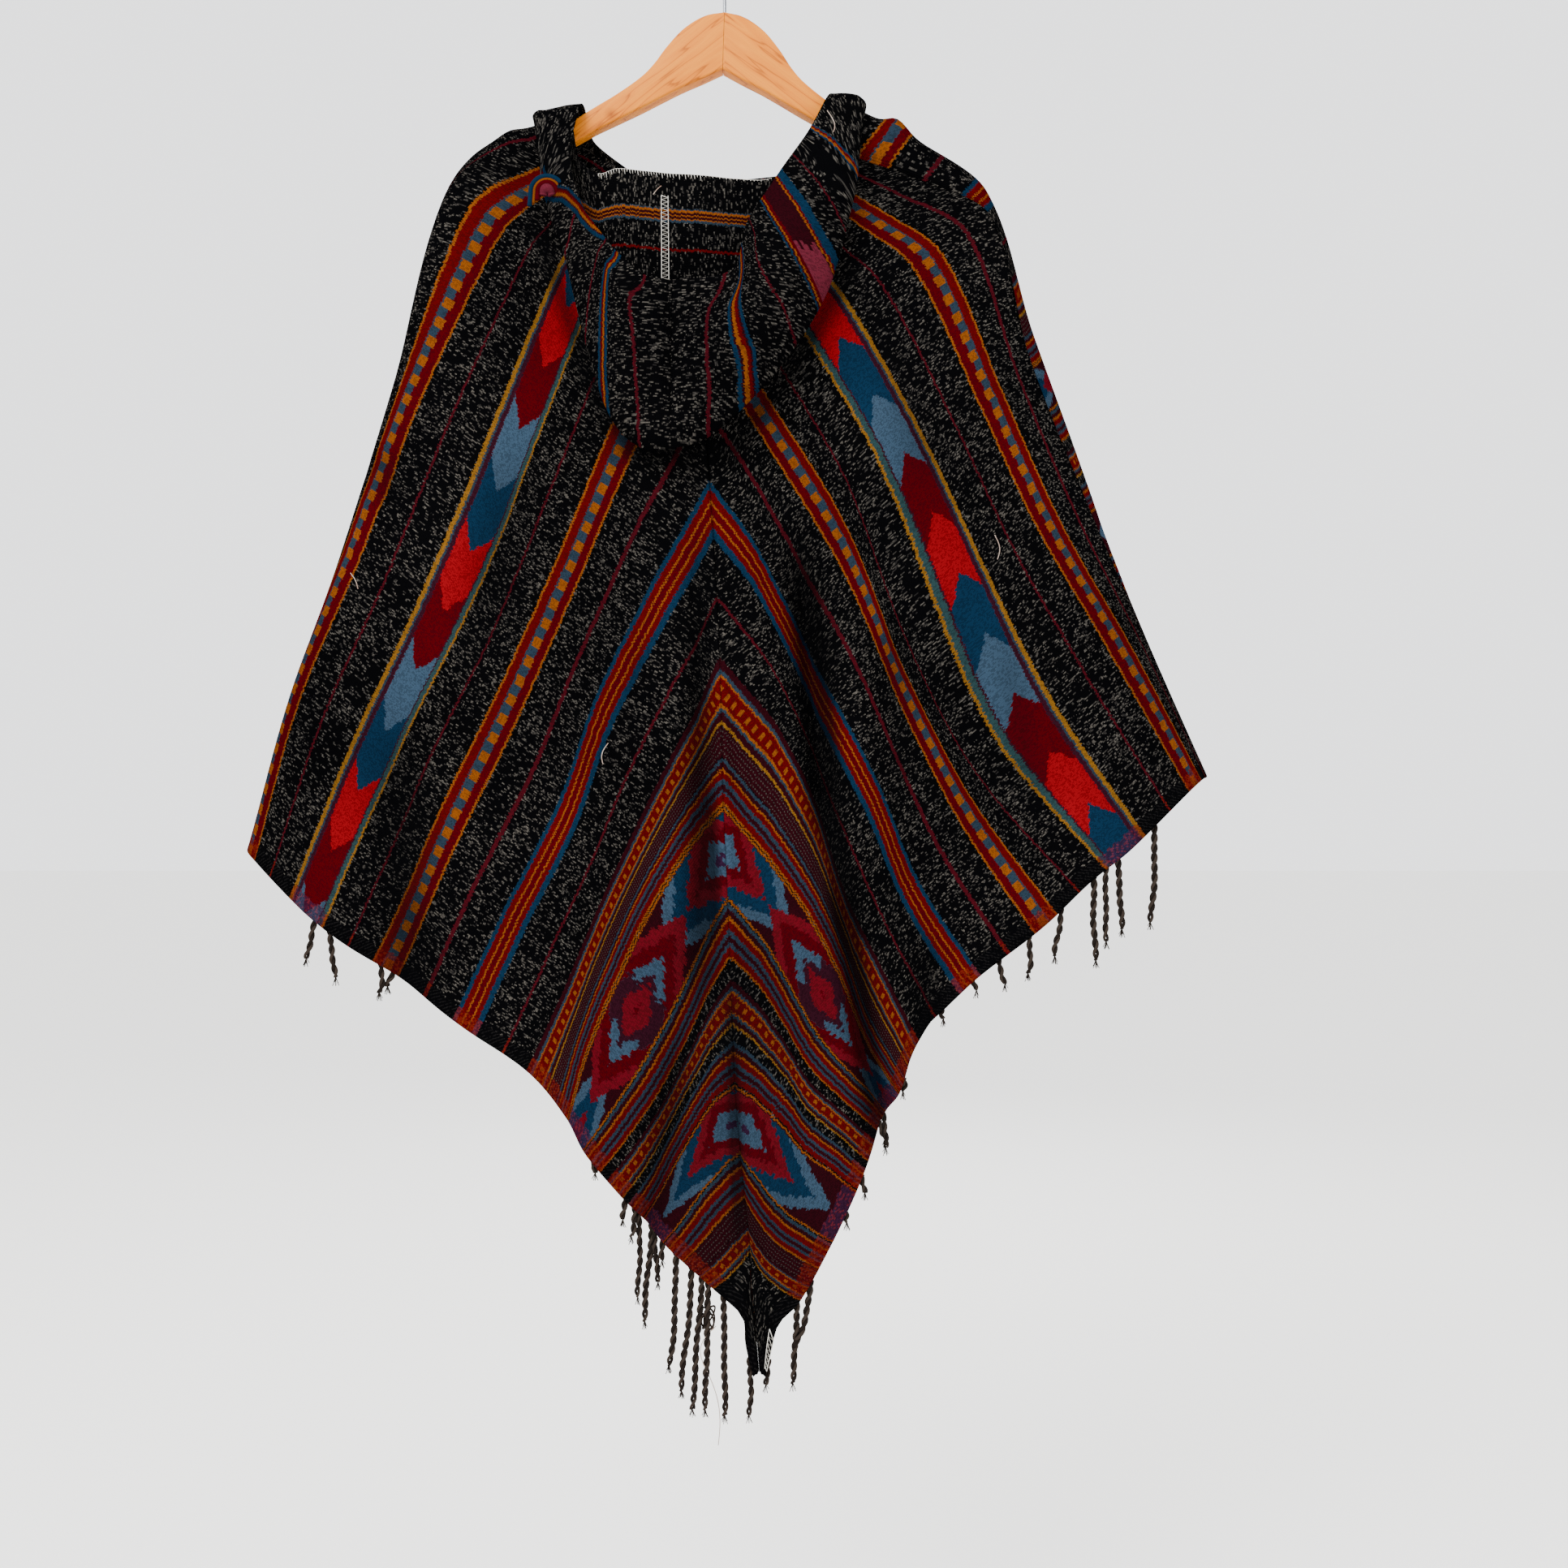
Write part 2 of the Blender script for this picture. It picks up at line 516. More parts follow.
# How dark the nap is at the bottom of a fold, and the luminance below which a stripe is plain ground
HOLLOW_DARK = 0.75
GROUND_BELOW = 0.0035
# The fabric coordinate where the chart of the hood's inside starts
INNER_FROM = 1000.0

# Colours of the materials. The cloth's are deep, because the studio light is bright.
HEX = {
    "black": "040405", "fleck": "161515", "pale_fleck": "484540", "maroon": "20050a",
    "dark_red": "3c0208", "brick": "430507", "red": "6c060f", "orange": "66350d",
    "ochre": "624214", "blue": "0a2033", "light_blue": "2a3b4b", "slate": "1c2833",
    "teal": "1d3032", "purple": "261228", "pinstripe": "34080f", "header": "5a170b",
    "pink": "4e0912", "rose": "521a26", "grey": "34312e", "plum": "240a14",
    "wood": "c46c08", "wood_dark": "743104", "wood_pale": "d27f12", "yarn": "0e0b0a",
    "yarn_pale": "2f2823", "thread": "bdb9b0", "steel": "94979c", "floor": "f7f6f3",
}


def linear(name):
    code = HEX[name]
    parts = [int(code[k:k + 2], 16) / 255 for k in (0, 2, 4)]
    return tuple(c / 12.92 if c <= 0.04045 else ((c + 0.055) / 1.055) ** 2.4 for c in parts) + (1.0,)


class Shader:
    """A material whose nodes are made by short calls that take sockets or numbers."""

    def __init__(self, name, seed=0):
        self.seed = seed
        self.material = bpy.data.materials.new(name)
        self.material.use_nodes = True
        self.tree = self.material.node_tree
        self.tree.nodes.clear()
        self.bsdf = self.tree.nodes.new("ShaderNodeBsdfPrincipled")
        output = self.tree.nodes.new("ShaderNodeOutputMaterial")
        self.tree.links.new(self.bsdf.outputs[0], output.inputs[0])

    def put(self, socket, value):
        if isinstance(value, bpy.types.NodeSocket):
            self.tree.links.new(value, socket)
        else:
            socket.default_value = value

    def node(self, kind, **settings):
        made = self.tree.nodes.new(kind)
        for key, value in settings.items():
            setattr(made, key, value)
        return made

    def math(self, operation, a, b=0.0, c=0.0, clamp=False):
        made = self.node("ShaderNodeMath", operation=operation, use_clamp=clamp)
        for socket, value in zip(made.inputs, (a, b, c)):
            self.put(socket, value)
        return made.outputs[0]

    def add(self, a, b):
        return self.math("ADD", a, b)

    def sub(self, a, b):
        return self.math("SUBTRACT", a, b)

    def mul(self, a, b):
        return self.math("MULTIPLY", a, b)

    def div(self, a, b):
        return self.math("DIVIDE", a, b)

    def over(self, a, b):
        """1 where a is more than b, and 0 elsewhere."""
        return self.math("GREATER_THAN", a, b)

    def under(self, a, b):
        return self.math("LESS_THAN", a, b)

    def mix(self, share, a, b, blend="MIX"):
        made = self.node("ShaderNodeMix", data_type="RGBA", blend_type=blend)
        self.put(made.inputs[0], share)
        self.put(made.inputs[6], a)
        self.put(made.inputs[7], b)
        return made.outputs[2]

    def ramp(self, at, stops, interpolation="CONSTANT"):
        made = self.node("ShaderNodeValToRGB")
        made.color_ramp.interpolation = interpolation
        points = made.color_ramp.elements
        while len(points) < len(stops):
            points.new(0.5)
        for point, (place, colour) in zip(points, stops):
            point.position = place
            point.color = colour
        self.put(made.inputs[0], at)
        return made.outputs[0]

    def between(self, value, low, high):
        above = self.over(value, low)
        below = self.under(value, high)
        return self.mul(above, below)

    def cells(self, x, y, seed):
        """White noise that is even inside each unit cell of x and y."""
        join_xy = self.node("ShaderNodeCombineXYZ")
        self.put(join_xy.inputs[0], self.math("FLOOR", x))
        self.put(join_xy.inputs[1], self.math("FLOOR", y))
        self.put(join_xy.inputs[2], float(seed + self.seed))
        noise = self.node("ShaderNodeTexWhiteNoise", noise_dimensions="3D")
        self.put(noise.inputs[0], join_xy.outputs[0])
        return noise.outputs[0]

    def fabric(self):
        """Distance across the stripes and along them, in millimetres."""
        uv = self.node("ShaderNodeUVMap", uv_map="fabric")
        split = self.node("ShaderNodeSeparateXYZ")
        self.put(split.inputs[0], uv.outputs[0])
        return [self.mul(split.outputs[k], 1000.0) for k in (0, 1)]

    def repeat(self, value, pitch):
        """Place in a repeat of the given length, from 0 to 1."""
        return self.math("FRACT", self.div(value, pitch))

    def surface(self, colour, height, strength, deep, rough, specular, metallic=0.0):
        """Ends the material. deep is the relief's height in metres."""
        bump = self.node("ShaderNodeBump")
        bump.inputs["Strength"].default_value = strength
        bump.inputs["Distance"].default_value = deep
        self.put(bump.inputs["Height"], height)
        for name, value in (("Base Color", colour), ("Normal", bump.outputs[0]), ("Roughness", rough),
                            ("Specular IOR Level", specular), ("Metallic", metallic)):
            self.put(self.bsdf.inputs[name], value)
        return self.material

    def noise(self, scale, detail, vector=None):
        made = self.node("ShaderNodeTexNoise", noise_dimensions="3D")
        if vector is None:
            vector = self.node("ShaderNodeTexCoord").outputs["Object"]
        self.put(made.inputs["Vector"], vector)
        made.inputs["Scale"].default_value = scale
        made.inputs["Detail"].default_value = detail
        return made.outputs[0]


def lines(start, *pairs):
    """Stripe edges from widths: lines(10, 2, "red", 3, "blue") is red from 10 and blue from 12."""
    rows = []
    for width, colour in zip(pairs[0::2], pairs[1::2]):
        rows.append((start, colour))
        start += width
    return rows + [(start, "black")]


def check_band(start):
    return lines(start, 1.5, "orange", 8.4, "dark_red", 8.2, "slate", 8.4, "brick", 1.5, "orange")


def thin_band(start):
    return lines(start, 4.4, "blue", 5, "brick", 1.3, "orange", 5.2, "dark_red", 1.3, "orange",
                 4.8, "brick", 3.5, "blue")


def group(start, width):
    k = width / 24
    return lines(start, 1.5 * k, "orange", 4 * k, "brick", 2 * k, "slate", 3 * k, "maroon",
                 2.4 * k, "slate", 4.1 * k, "brick", 1.6 * k, "orange", 3 * k, "maroon", 2.4 * k, "slate")


def dash_band(start, width):
    k = width / 28
    return lines(start, 1.6 * k, "ochre", 3.4 * k, "maroon", 2.4 * k, "slate", 1.5 * k, "orange",
                 11 * k, "brick", 1.5 * k, "orange", 2.4 * k, "slate", 4.2 * k, "maroon")


def pinstripe(centre):
    return lines(centre - 1.2, 2.4, "pinstripe")


# Arrow band: its field, the length of each colour and the depth of each point
ARROW = {"from": 605.6, "to": 634.6, "segment": 53.7, "point": 21, "comb": 3.0}
# Columns of checks, fields of dashes and dotted lines: their edges, and the repeat of each
CHECKS = [(520.9, 529.1), (715.9, 724.1)]
CHECK_PITCH = 17.0
DASHES = [(60, 65), (201, 207), (344, 354)]
DASH = {"pitch": 8.5, "share": 0.38, "reach": 3.4}
DOTTED = (74.5, 78.5, 82.5, 86.5, 318, 321.6, 325.2, 328.8)
DOT = {"pitch": 2.4, "wide": 0.9}
# Diamond bands: edges, place of the pink centres, and whether pink ones show at all
DIAMONDS = [(123, 160, -37, False), (253, 289, 113, True)]
# The header at the hem: its depth and how uneven it is, its mottle, and its broken twill
HEADER = {"deep": 11.0, "comb": 3.0, "mottle": 1.6, "cool": 0.7, "beside": 4, "strong": 0.65}
TWILL = {"pitch": 3.6, "line": 0.7, "breaks": 2.2, "broken": 0.3, "strong": 0.7}


def chart():
    """Where each stripe of the body cloth starts, in millimetres from the tip."""
    return (
        [(0, "black")]
        + dash_band(52, 20)
        + lines(73, 17, "maroon")
        + group(91, 29)
        + lines(121, 1.4, "orange", 38.2, "maroon", 1.4, "orange")
        + group(162, 22)
        + dash_band(192, 22)
        + group(224, 26)
        + lines(251, 1.4, "orange", 37.2, "maroon", 1.4, "orange")
        + group(292, 23)
        + lines(316, 15, "maroon")
        + dash_band(332, 33)
        + pinstripe(394)
        + thin_band(423)
        + pinstripe(481)
        + check_band(511)
        + pinstripe(568)
        + lines(597, 3, "ochre", 2.8, "teal", 2.8, "plum", 29, "red", 2.6, "plum", 2.8, "slate",
                3, "ochre")
        + pinstripe(676)
        + check_band(706)
        + pinstripe(762)
    )


def striped(shader, across, rows, most=30):
    """Colour of a chart of stripes, from colour ramps of up to most stops each."""
    rows = sorted(rows, key=lambda row: row[0])
    colour = None
    for first in range(0, len(rows), most):
        part = rows[first:first + most]
        low = part[0][0]
        high = rows[first + most][0] if first + most < len(rows) else part[-1][0] + 200
        span = high - low
        at = shader.div(shader.sub(across, float(low)), float(span))
        stops = [((start - low) / span, linear(name)) for start, name in part]
        ramp = shader.ramp(at, stops)
        if colour is None:
            colour = ramp
        else:
            colour = shader.mix(shader.over(across, float(low)), colour, ramp)
    return colour


def heather(sh, across, along, colour, ground):
    """Pale dashes in the dark ground: short floats of weft, each row set off from the last."""
    row = sh.div(along, WEFT)
    shift = sh.mul(sh.cells(row, 0.0, SEED["shift"]), HEATHER["shift"])
    dash = sh.add(sh.div(across, FLOAT_LONG), shift)
    fine = sh.cells(sh.div(across, WARP), row, SEED["fine"])
    patch = sh.noise(HEATHER["patches"], 1.0)
    limit = sh.add(HEATHER["share"], sh.mul(sh.sub(patch, 0.5), HEATHER["uneven"]))
    pale = sh.over(sh.cells(dash, row, SEED["pale"]), limit)
    pale = sh.mul(pale, sh.over(fine, HEATHER["gaps"]))
    spread = sh.math("POWER", fine, HEATHER["contrast"])
    fleck = sh.mix(spread, linear("fleck"), linear("pale_fleck"))
    return sh.mix(sh.mul(pale, ground), colour, fleck), fine, pale


def woven(name, seed, rows, arrows=None, body=True, header=True, inner_rows=None, rose=None):
    """Blanket cloth: heathered ground, coloured stripes and woven motifs, all in real millimetres."""
    sh = Shader(name, seed)
    across, along = sh.fabric()
    # Each weft row starts and stops its colours a little out of line
    row_noise = sh.cells(sh.div(along, WEFT), 0.0, SEED["ragged"])
    ragged = sh.mul(sh.sub(row_noise, 0.5), RAGGED)
    across_r = sh.add(across, ragged)
    colour = striped(sh, across_r, rows)
    if inner_rows is not None:
        inside = sh.over(across, INNER_FROM - 100.0)
        inner = striped(sh, sh.sub(across_r, INNER_FROM), inner_rows)
        colour = sh.mix(inside, colour, inner)
    ground = sh.under(luminance(sh, colour), GROUND_BELOW)
    if rose is not None:
        lower = sh.over(sh.add(along, comb(sh, across, rose["comb"])), rose["start"])
        within = sh.between(across, rose["from"], rose["to"])
        colour = sh.mix(sh.mul(lower, within), colour, linear("rose"))
    if body:
        colour = motif_colours(sh, colour, across_r, along, arrows)
    if header:
        colour, ground = header_colours(sh, colour, ground, across_r, along)
    colour, fine, pale = heather(sh, across, along, colour, ground)
    # Coloured bands show single darker threads
    streak = sh.cells(sh.div(across, WARP), sh.div(along, WEFT), SEED["streak"])
    dull = sh.mul(sh.over(streak, STREAK["share"]), STREAK["dark"])
    dull = sh.mul(dull, sh.sub(1.0, ground))
    colour = sh.mix(dull, colour, linear("black"))
    shade = sh.ramp(sh.noise(DYE["scale"], 3.0), DYE["stops"], "LINEAR")
    colour = sh.mix(1.0, colour, shade, "MULTIPLY")
    # The nap lies closed and darker down in the folds
    hollow = sh.node("ShaderNodeAttribute", attribute_name="hollow").outputs["Fac"]
    colour = sh.mix(sh.mul(hollow, HOLLOW_DARK), colour, linear("black"))
    # Relief: weft ribs, warp threads and the floats of the heather
    rib = sh.math("SINE", sh.mul(along, CIRCLE / WEFT))
    warp = sh.math("SINE", sh.mul(across, CIRCLE / WARP))
    height = sh.add(sh.mul(rib, RELIEF["weft"]), sh.mul(warp, RELIEF["warp"]))
    height = sh.add(height, sh.mul(fine, RELIEF["fine"]))
    height = sh.add(height, sh.mul(pale, RELIEF["pale"]))
    return sh.surface(colour, height, strength=0.8, deep=0.0005, rough=0.95, specular=0.0)


def luminance(sh, colour):
    made = sh.node("ShaderNodeRGBToBW")
    sh.put(made.inputs[0], colour)
    return made.outputs[0]


def motif_colours(sh, colour, across, along, arrows):
    # Checks: squares of orange in the slate column
    square = sh.under(sh.repeat(along, CHECK_PITCH), 0.5)
    for low, high in CHECKS:
        inside = sh.mul(sh.between(across, low, high), square)
        colour = sh.mix(inside, colour, linear("orange"))
    # Dashes: short orange bars in the brick fields
    bar = sh.under(sh.repeat(along, DASH["pitch"]), DASH["share"])
    for low, high in DASHES:
        middle, reach = (low + high) / 2, (high - low) / DASH["reach"]
        inside = sh.mul(sh.between(across, middle - reach, middle + reach), bar)
        colour = sh.mix(inside, colour, linear("orange"))
    # Dotted grey lines in the maroon bands
    dot = sh.over(sh.repeat(along, DOT["pitch"]), 0.5)
    for low in DOTTED:
        inside = sh.mul(sh.between(across, low, low + DOT["wide"]), dot)
        colour = sh.mix(inside, colour, linear("grey"))
    for low, high, place, pink_too in DIAMONDS:
        colour = diamonds(sh, colour, across, along, (low, high), place, pink_too)
    return arrow_field(sh, colour, across, along, arrows)


COMB_PITCH = 2.6


def comb(sh, along, reach):
    """Uneven ends of weft rows, in millimetres, as a tapestry's slanted edges have them."""
    noise = sh.cells(sh.div(along, COMB_PITCH), 0.0, SEED["comb"])
    return sh.mul(sh.sub(noise, 0.5), reach)


def from_middle(sh, across, low, high):
    return sh.math("ABSOLUTE", sh.sub(across, (low + high) / 2))


def arrow_field(sh, colour, across, along, arrows):
    """Four colours in turn, each ending in a point in the middle of the band.
    arrows gives the way the points face, where the first colour starts, and the colours."""
    way, start, names = arrows
    wide = (ARROW["to"] - ARROW["from"]) / 2
    aside = sh.div(from_middle(sh, across, ARROW["from"], ARROW["to"]), wide)
    lean = sh.mul(aside, float(way * ARROW["point"]))
    moved = sh.add(sh.sub(along, float(start)), lean)
    moved = sh.add(moved, comb(sh, along, ARROW["comb"]))
    step = sh.repeat(moved, len(names) * ARROW["segment"])
    stops = [(k / len(names), linear(n)) for k, n in enumerate(names)]
    return sh.mix(sh.between(across, ARROW["from"], ARROW["to"]), colour, sh.ramp(step, stops))


# Rings of the two diamonds: where each colour starts, in millimetres from the centre along the band
PINK_RINGS = [(0, "dark_red"), (5, "pink"), (24, "plum"), (33, "light_blue"), (49, "dark_red"),
              (68, "pink"), (86, "blue")]
BLUE_RINGS = [(0, "purple"), (7, "light_blue"), (25, "dark_red"), (41, "pink"), (57, "blue"),
              (80, "light_blue"), (98, "maroon")]
DIAMOND = {"apart": 147.0, "slope": 2.2, "reach": 150.0, "comb": 7.0, "lean": 0.9,
           "broken": (33.0, 49.0)}


def diamonds(sh, colour, across, along, edges, place, pink_too):
    """Concentric diamonds, pink and light blue ones in turn along the band."""
    low, high = edges
    side = sh.mul(from_middle(sh, across, low, high), DIAMOND["slope"])
    side = sh.add(side, comb(sh, along, DIAMOND["comb"]))
    away = sh.math("PINGPONG", sh.sub(along, float(place)), DIAMOND["apart"])
    from_blue = sh.add(sh.sub(DIAMOND["apart"], away), side)
    rings = [(at / DIAMOND["reach"], linear(n)) for at, n in BLUE_RINGS]
    field = sh.ramp(sh.div(from_blue, DIAMOND["reach"]), rings)
    if pink_too:
        from_pink = sh.add(away, side)
        rings = [(at / DIAMOND["reach"], linear(n)) for at, n in PINK_RINGS]
        pink = sh.ramp(sh.div(from_pink, DIAMOND["reach"]), rings)
        # The light blue ring is broken at its sides
        beside = sh.over(sh.mul(side, DIAMOND["lean"]), away)
        broken = sh.mul(beside, sh.between(from_pink, *DIAMOND["broken"]))
        pink = sh.mix(broken, pink, linear("plum"))
        last = PINK_RINGS[-1][0]
        field = sh.mix(sh.under(from_pink, float(last)), field, pink)
    return sh.mix(sh.between(across, low, high), colour, field)


def header_colours(sh, colour, ground, across, along):
    """The warp ends at the hem, where the weft changes: bands turn to mottled orange red or purple."""
    comb_wide = HEADER["comb"]
    ragged = sh.mul(sh.cells(sh.div(across, comb_wide), 0.0, SEED["header"]), comb_wide)
    near = sh.under(along, sh.add(ragged, HEADER["deep"]))
    mottle = sh.cells(*(sh.div(way, HEADER["mottle"]) for way in (across, along)), SEED["mottle"])
    warm = sh.mix(sh.over(mottle, 0.5), linear("brick"), linear("header"))
    cool = sh.mix(sh.over(mottle, HEADER["cool"]), linear("purple"), linear("rose"))
    in_cool = sh.between(across, ARROW["from"] - HEADER["beside"], ARROW["to"] + HEADER["beside"])
    for low, high, _, _ in DIAMONDS:
        in_cool = sh.add(in_cool, sh.between(across, low, high))
    weft = sh.mix(in_cool, warm, cool)
    coloured = sh.mul(near, sh.sub(1.0, ground))
    colour = sh.mix(sh.mul(coloured, HEADER["strong"]), colour, weft)
    twill = sh.repeat(sh.add(across, along), TWILL["pitch"])
    broken = sh.cells(*(sh.div(way, TWILL["breaks"]) for way in (across, along)), SEED["twill"])
    line = sh.mul(sh.over(twill, TWILL["line"]), sh.over(broken, TWILL["broken"]))
    line = sh.mul(sh.mul(line, near), ground)
    colour = sh.mix(sh.mul(line, TWILL["strong"]), colour, linear("fleck"))
    return colour, sh.mul(ground, sh.sub(1.0, near))


def narrow(start, k=1.0):
    """The hood's narrow stripe, k times its usual width of 12.2 mm."""
    return lines(start, 2.6 * k, "blue", 1.4 * k, "maroon", 1.8 * k, "orange", 2.4 * k, "brick",
                 1.4 * k, "maroon", 2.6 * k, "blue")


# The rose field of the right wing: its edges, where it starts, and how uneven that start is
ROSE = {"from": 147, "to": 167, "start": 126.0, "comb": 9.0}


def hood_charts():
    """Stripes of the hood: outside by distance from its centre seam, inside from the neck seam."""
    right = (
        [(0, "black")] + pinstripe(32) + narrow(57, 1.3) + pinstripe(109)
        + lines(137, 2.5, "blue", 1.6, "maroon", 2, "orange", 3, "dark_red", 21, "maroon",
                1.8, "orange", 2, "dark_red", 9, "blue")
        + pinstripe(199) + narrow(236, 0.62)
    )
    left = [(0, "black")] + pinstripe(24) + narrow(53, 1.3) + pinstripe(94) + pinstripe(150)
    inner = (
        [(0, "black")]
        + lines(28, 1.6, "slate", 1.4, "orange", 2, "maroon", 1.4, "orange", 2, "maroon",
                1.4, "orange", 1.8, "slate")
        + lines(61, 2.0, "brick")
    )
    return left, right, inner


# A small knot near the left end, in millimetres
KNOT = {"x": -93, "z": -154, "radius": 7, "soft": 1.3, "strong": 0.8}
# The grain: how fine it is along, through and across the wood, how far one arm's differs
# from the other's, how many rings there are, and how much of the plain colour is mixed in
GRAIN = {"along": 5.0, "through": 40.0, "across": 60.0, "apart": 3.0, "rings": 7.0, "plain": 0.35}
FIBRES = {"finer": (6.0, 8.0, 30.0), "dark": 0.25}


def wood_material():
    """Straight-grained wood. The grain runs down each arm from the mitre joint."""
    sh = Shader("varnished_wood")
    place = sh.node("ShaderNodeSeparateXYZ")
    sh.put(place.inputs[0], sh.node("ShaderNodeTexCoord").outputs["Object"])
    x, y, z = place.outputs
    aside = sh.math("ABSOLUTE", x)
    slope = math.radians(ARM_SLOPE)
    along = sh.sub(sh.mul(aside, math.cos(slope)), sh.mul(z, math.sin(slope)))
    across = sh.add(sh.mul(aside, math.sin(slope)), sh.mul(z, math.cos(slope)))
    grain_at = sh.node("ShaderNodeCombineXYZ")
    side = sh.mul(sh.over(x, 0.0), GRAIN["apart"])
    sh.put(grain_at.inputs[0], sh.add(sh.mul(along, GRAIN["along"]), side))
    sh.put(grain_at.inputs[1], sh.mul(y, GRAIN["through"]))
    sh.put(grain_at.inputs[2], sh.mul(across, GRAIN["across"]))
    rings = sh.noise(1.0, 3.0, grain_at.outputs[0])
    grain = sh.ramp(sh.math("FRACT", sh.mul(rings, GRAIN["rings"])), [
        (0.0, linear("wood_dark")), (0.1, linear("wood")), (0.6, linear("wood_pale")),
        (0.95, linear("wood")), (1.0, linear("wood_dark")),
    ], "LINEAR")
    fibre_at = sh.node("ShaderNodeVectorMath", operation="MULTIPLY")
    sh.put(fibre_at.inputs[0], grain_at.outputs[0])
    fibre_at.inputs[1].default_value = FIBRES["finer"]
    fibres = sh.noise(1.0, 2.0, fibre_at.outputs[0])
    grain = sh.mix(GRAIN["plain"], grain, linear("wood"))
    seen = sh.node("ShaderNodeCombineXYZ")
    sh.put(seen.inputs[0], x)
    sh.put(seen.inputs[2], z)
    away = sh.node("ShaderNodeVectorMath", operation="DISTANCE")
    sh.put(away.inputs[0], seen.outputs[0])
    away.inputs[1].default_value = (KNOT["x"] * MM, 0.0, KNOT["z"] * MM)
    far = sh.math("DIVIDE", away.outputs["Value"], KNOT["radius"] * MM, clamp=True)
    dark = sh.math("POWER", sh.sub(1.0, far), KNOT["soft"])
    grain = sh.mix(sh.mul(dark, KNOT["strong"]), grain, linear("wood_dark"))
    grain = sh.mix(sh.mul(fibres, FIBRES["dark"]), grain, linear("wood_dark"))
    return sh.surface(grain, fibres, strength=0.12, deep=0.0003, rough=0.5, specular=0.12)


def plain_material(name, colour, other, scale, rough, metallic=0.0, share=0.5, bump_mm=0.2):
    """One colour, mottled with a share of another at the given scale."""
    sh = Shader(name)
    noise = sh.noise(scale, 3.0)
    low = sh.mix(share, linear(colour), linear(other))
    tone = sh.mix(noise, linear(colour), low)
    return sh.surface(tone, noise, strength=0.4, deep=bump_mm * MM, rough=rough,
                      specular=0.5 if metallic else 0.0, metallic=metallic)


# The way the points face, where the first colour starts, and the colours from the hem upwards
ARROWS_LEFT = (-1, 0, ["dark_red", "red", "blue", "light_blue"])
ARROWS_RIGHT = (1, -3, ["blue", "red", "dark_red", "light_blue"])
hood_chart_left, hood_chart_right, inner_chart = hood_charts()
cloth_left = woven("woven_blanket_left", 0, chart(), ARROWS_LEFT)
cloth_right = woven("woven_blanket_right", 100, chart(), ARROWS_RIGHT)
cloth_front = woven("woven_blanket_front", 200, chart(), ARROWS_RIGHT, header=False)
cloth_hood_left = woven("woven_hood_left", 300, hood_chart_left, body=False, header=False,
                        inner_rows=inner_chart)
cloth_hood_right = woven("woven_hood_right", 400, hood_chart_right, body=False, header=False,
                         inner_rows=inner_chart, rose=ROSE)
wood = wood_material()
steel = plain_material("zinc_plated_wire", "steel", "grey", 300.0, 0.3, metallic=1.0, bump_mm=0.05)
yarn = plain_material("dark_warp_yarn", "yarn", "yarn_pale", 900.0, 0.95, share=0.4)
yarn_pale = plain_material("pale_warp_yarn", "yarn_pale", "yarn", 900.0, 0.95, share=0.5)
yarn_light = plain_material("loose_pale_thread", "orange", "thread", 90.0, 0.9, share=0.8)
thread = plain_material("white_serging_thread", "thread", "thread", 1500.0, 0.85)
root = BODY


def dressed(obj, slot, *nodes):
    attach(obj, root)
    if nodes:
        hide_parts(*nodes)
    return obj


# Body panels
FINE_STRIPES = 170
FINE_PLACES = 150
stripes = np.linspace(TIP_STRIPE, SIDE_STRIPE, FINE_STRIPES)
places = np.linspace(0, 1, FINE_PLACES)


def shared(a, b, line):
    """Gives two panels one edge line and normal, then draws each back half the gap."""
    pa, na = a
    pb, nb = b
    mid = (pa[line] + pb[line]) / 2
    normal = unit(na[line] + nb[line])
    across = unit(np.cross(np.gradient(mid, axis=0), normal))
    beside = (line[0], 1) if line[1] == 0 else (-2, line[1])
    step_a = pa[beside] - mid
    side = np.sign(np.einsum("ij,ij->i", step_a, across))[:, None]
    side[side == 0] = 1
    pa[line] = mid + across * side * SEAM_GAP / 2
    pb[line] = mid - across * side * SEAM_GAP / 2
    na[line] = normal
    nb[line] = normal


def make_panel(table, flip):
    points = panel_points(table, stripes, places)
    return [points, normals(points) * flip]


# Where the nap lies closed and dark beside the folds of the back. Same columns; 16 is darkest.
DARK_SIDES = [
    [82, -540, 99, -860, 15, 12],
    [-9, -690, -3, -850, 10, 11],
    [3, -800, 15, -1120, 7, 12],
    [5, -690, 15, -1210, 75, 6],
    [-62, -560, -96, -760, 10, 7],
    [120, -300, 175, -480, 16, 7],
    [-165, -215, -105, -385, 8, 14],
    [-125, -345, -70, -445, 8, 14],
    [-100, -434, 30, -434, 11, 16],
    [0, -445, 80, -325, 8, 14],
    [50, -375, 120, -255, 8, 13],
    [222, -560, 260, -760, 12, 6],
]


def hollows(points, folds):
    """How far down in a fold the cloth lies, from 0 to 1."""
    return np.clip(fold_depth(folds, points[..., 0], points[..., 2]) / FOLD_FULL, 0, 1)


panel_back_right = make_panel(BACK_RIGHT, -1)
panel_back_left = make_panel(BACK_LEFT, 1)
panel_front_right = make_panel(FRONT_RIGHT, 1)
panel_front_left = make_panel(FRONT_LEFT, -1)
centre = slice(0, int(np.searchsorted(stripes, NECK_STRIPE, side="right")))
shared(panel_back_right, panel_back_left, (centre, 0))
shared(panel_front_right, panel_front_left, (centre, 0))
shared(panel_back_right, panel_front_right, (-1, slice(None)))
shared(panel_back_left, panel_front_left, (-1, slice(None)))


# The welt beside a seam: its height, place and width, then the dip's depth and width
WELT = {"high": 0.5, "at": 5, "wide": 3.0, "deep": 0.9, "narrow": 1.6}
FAR = 1e3


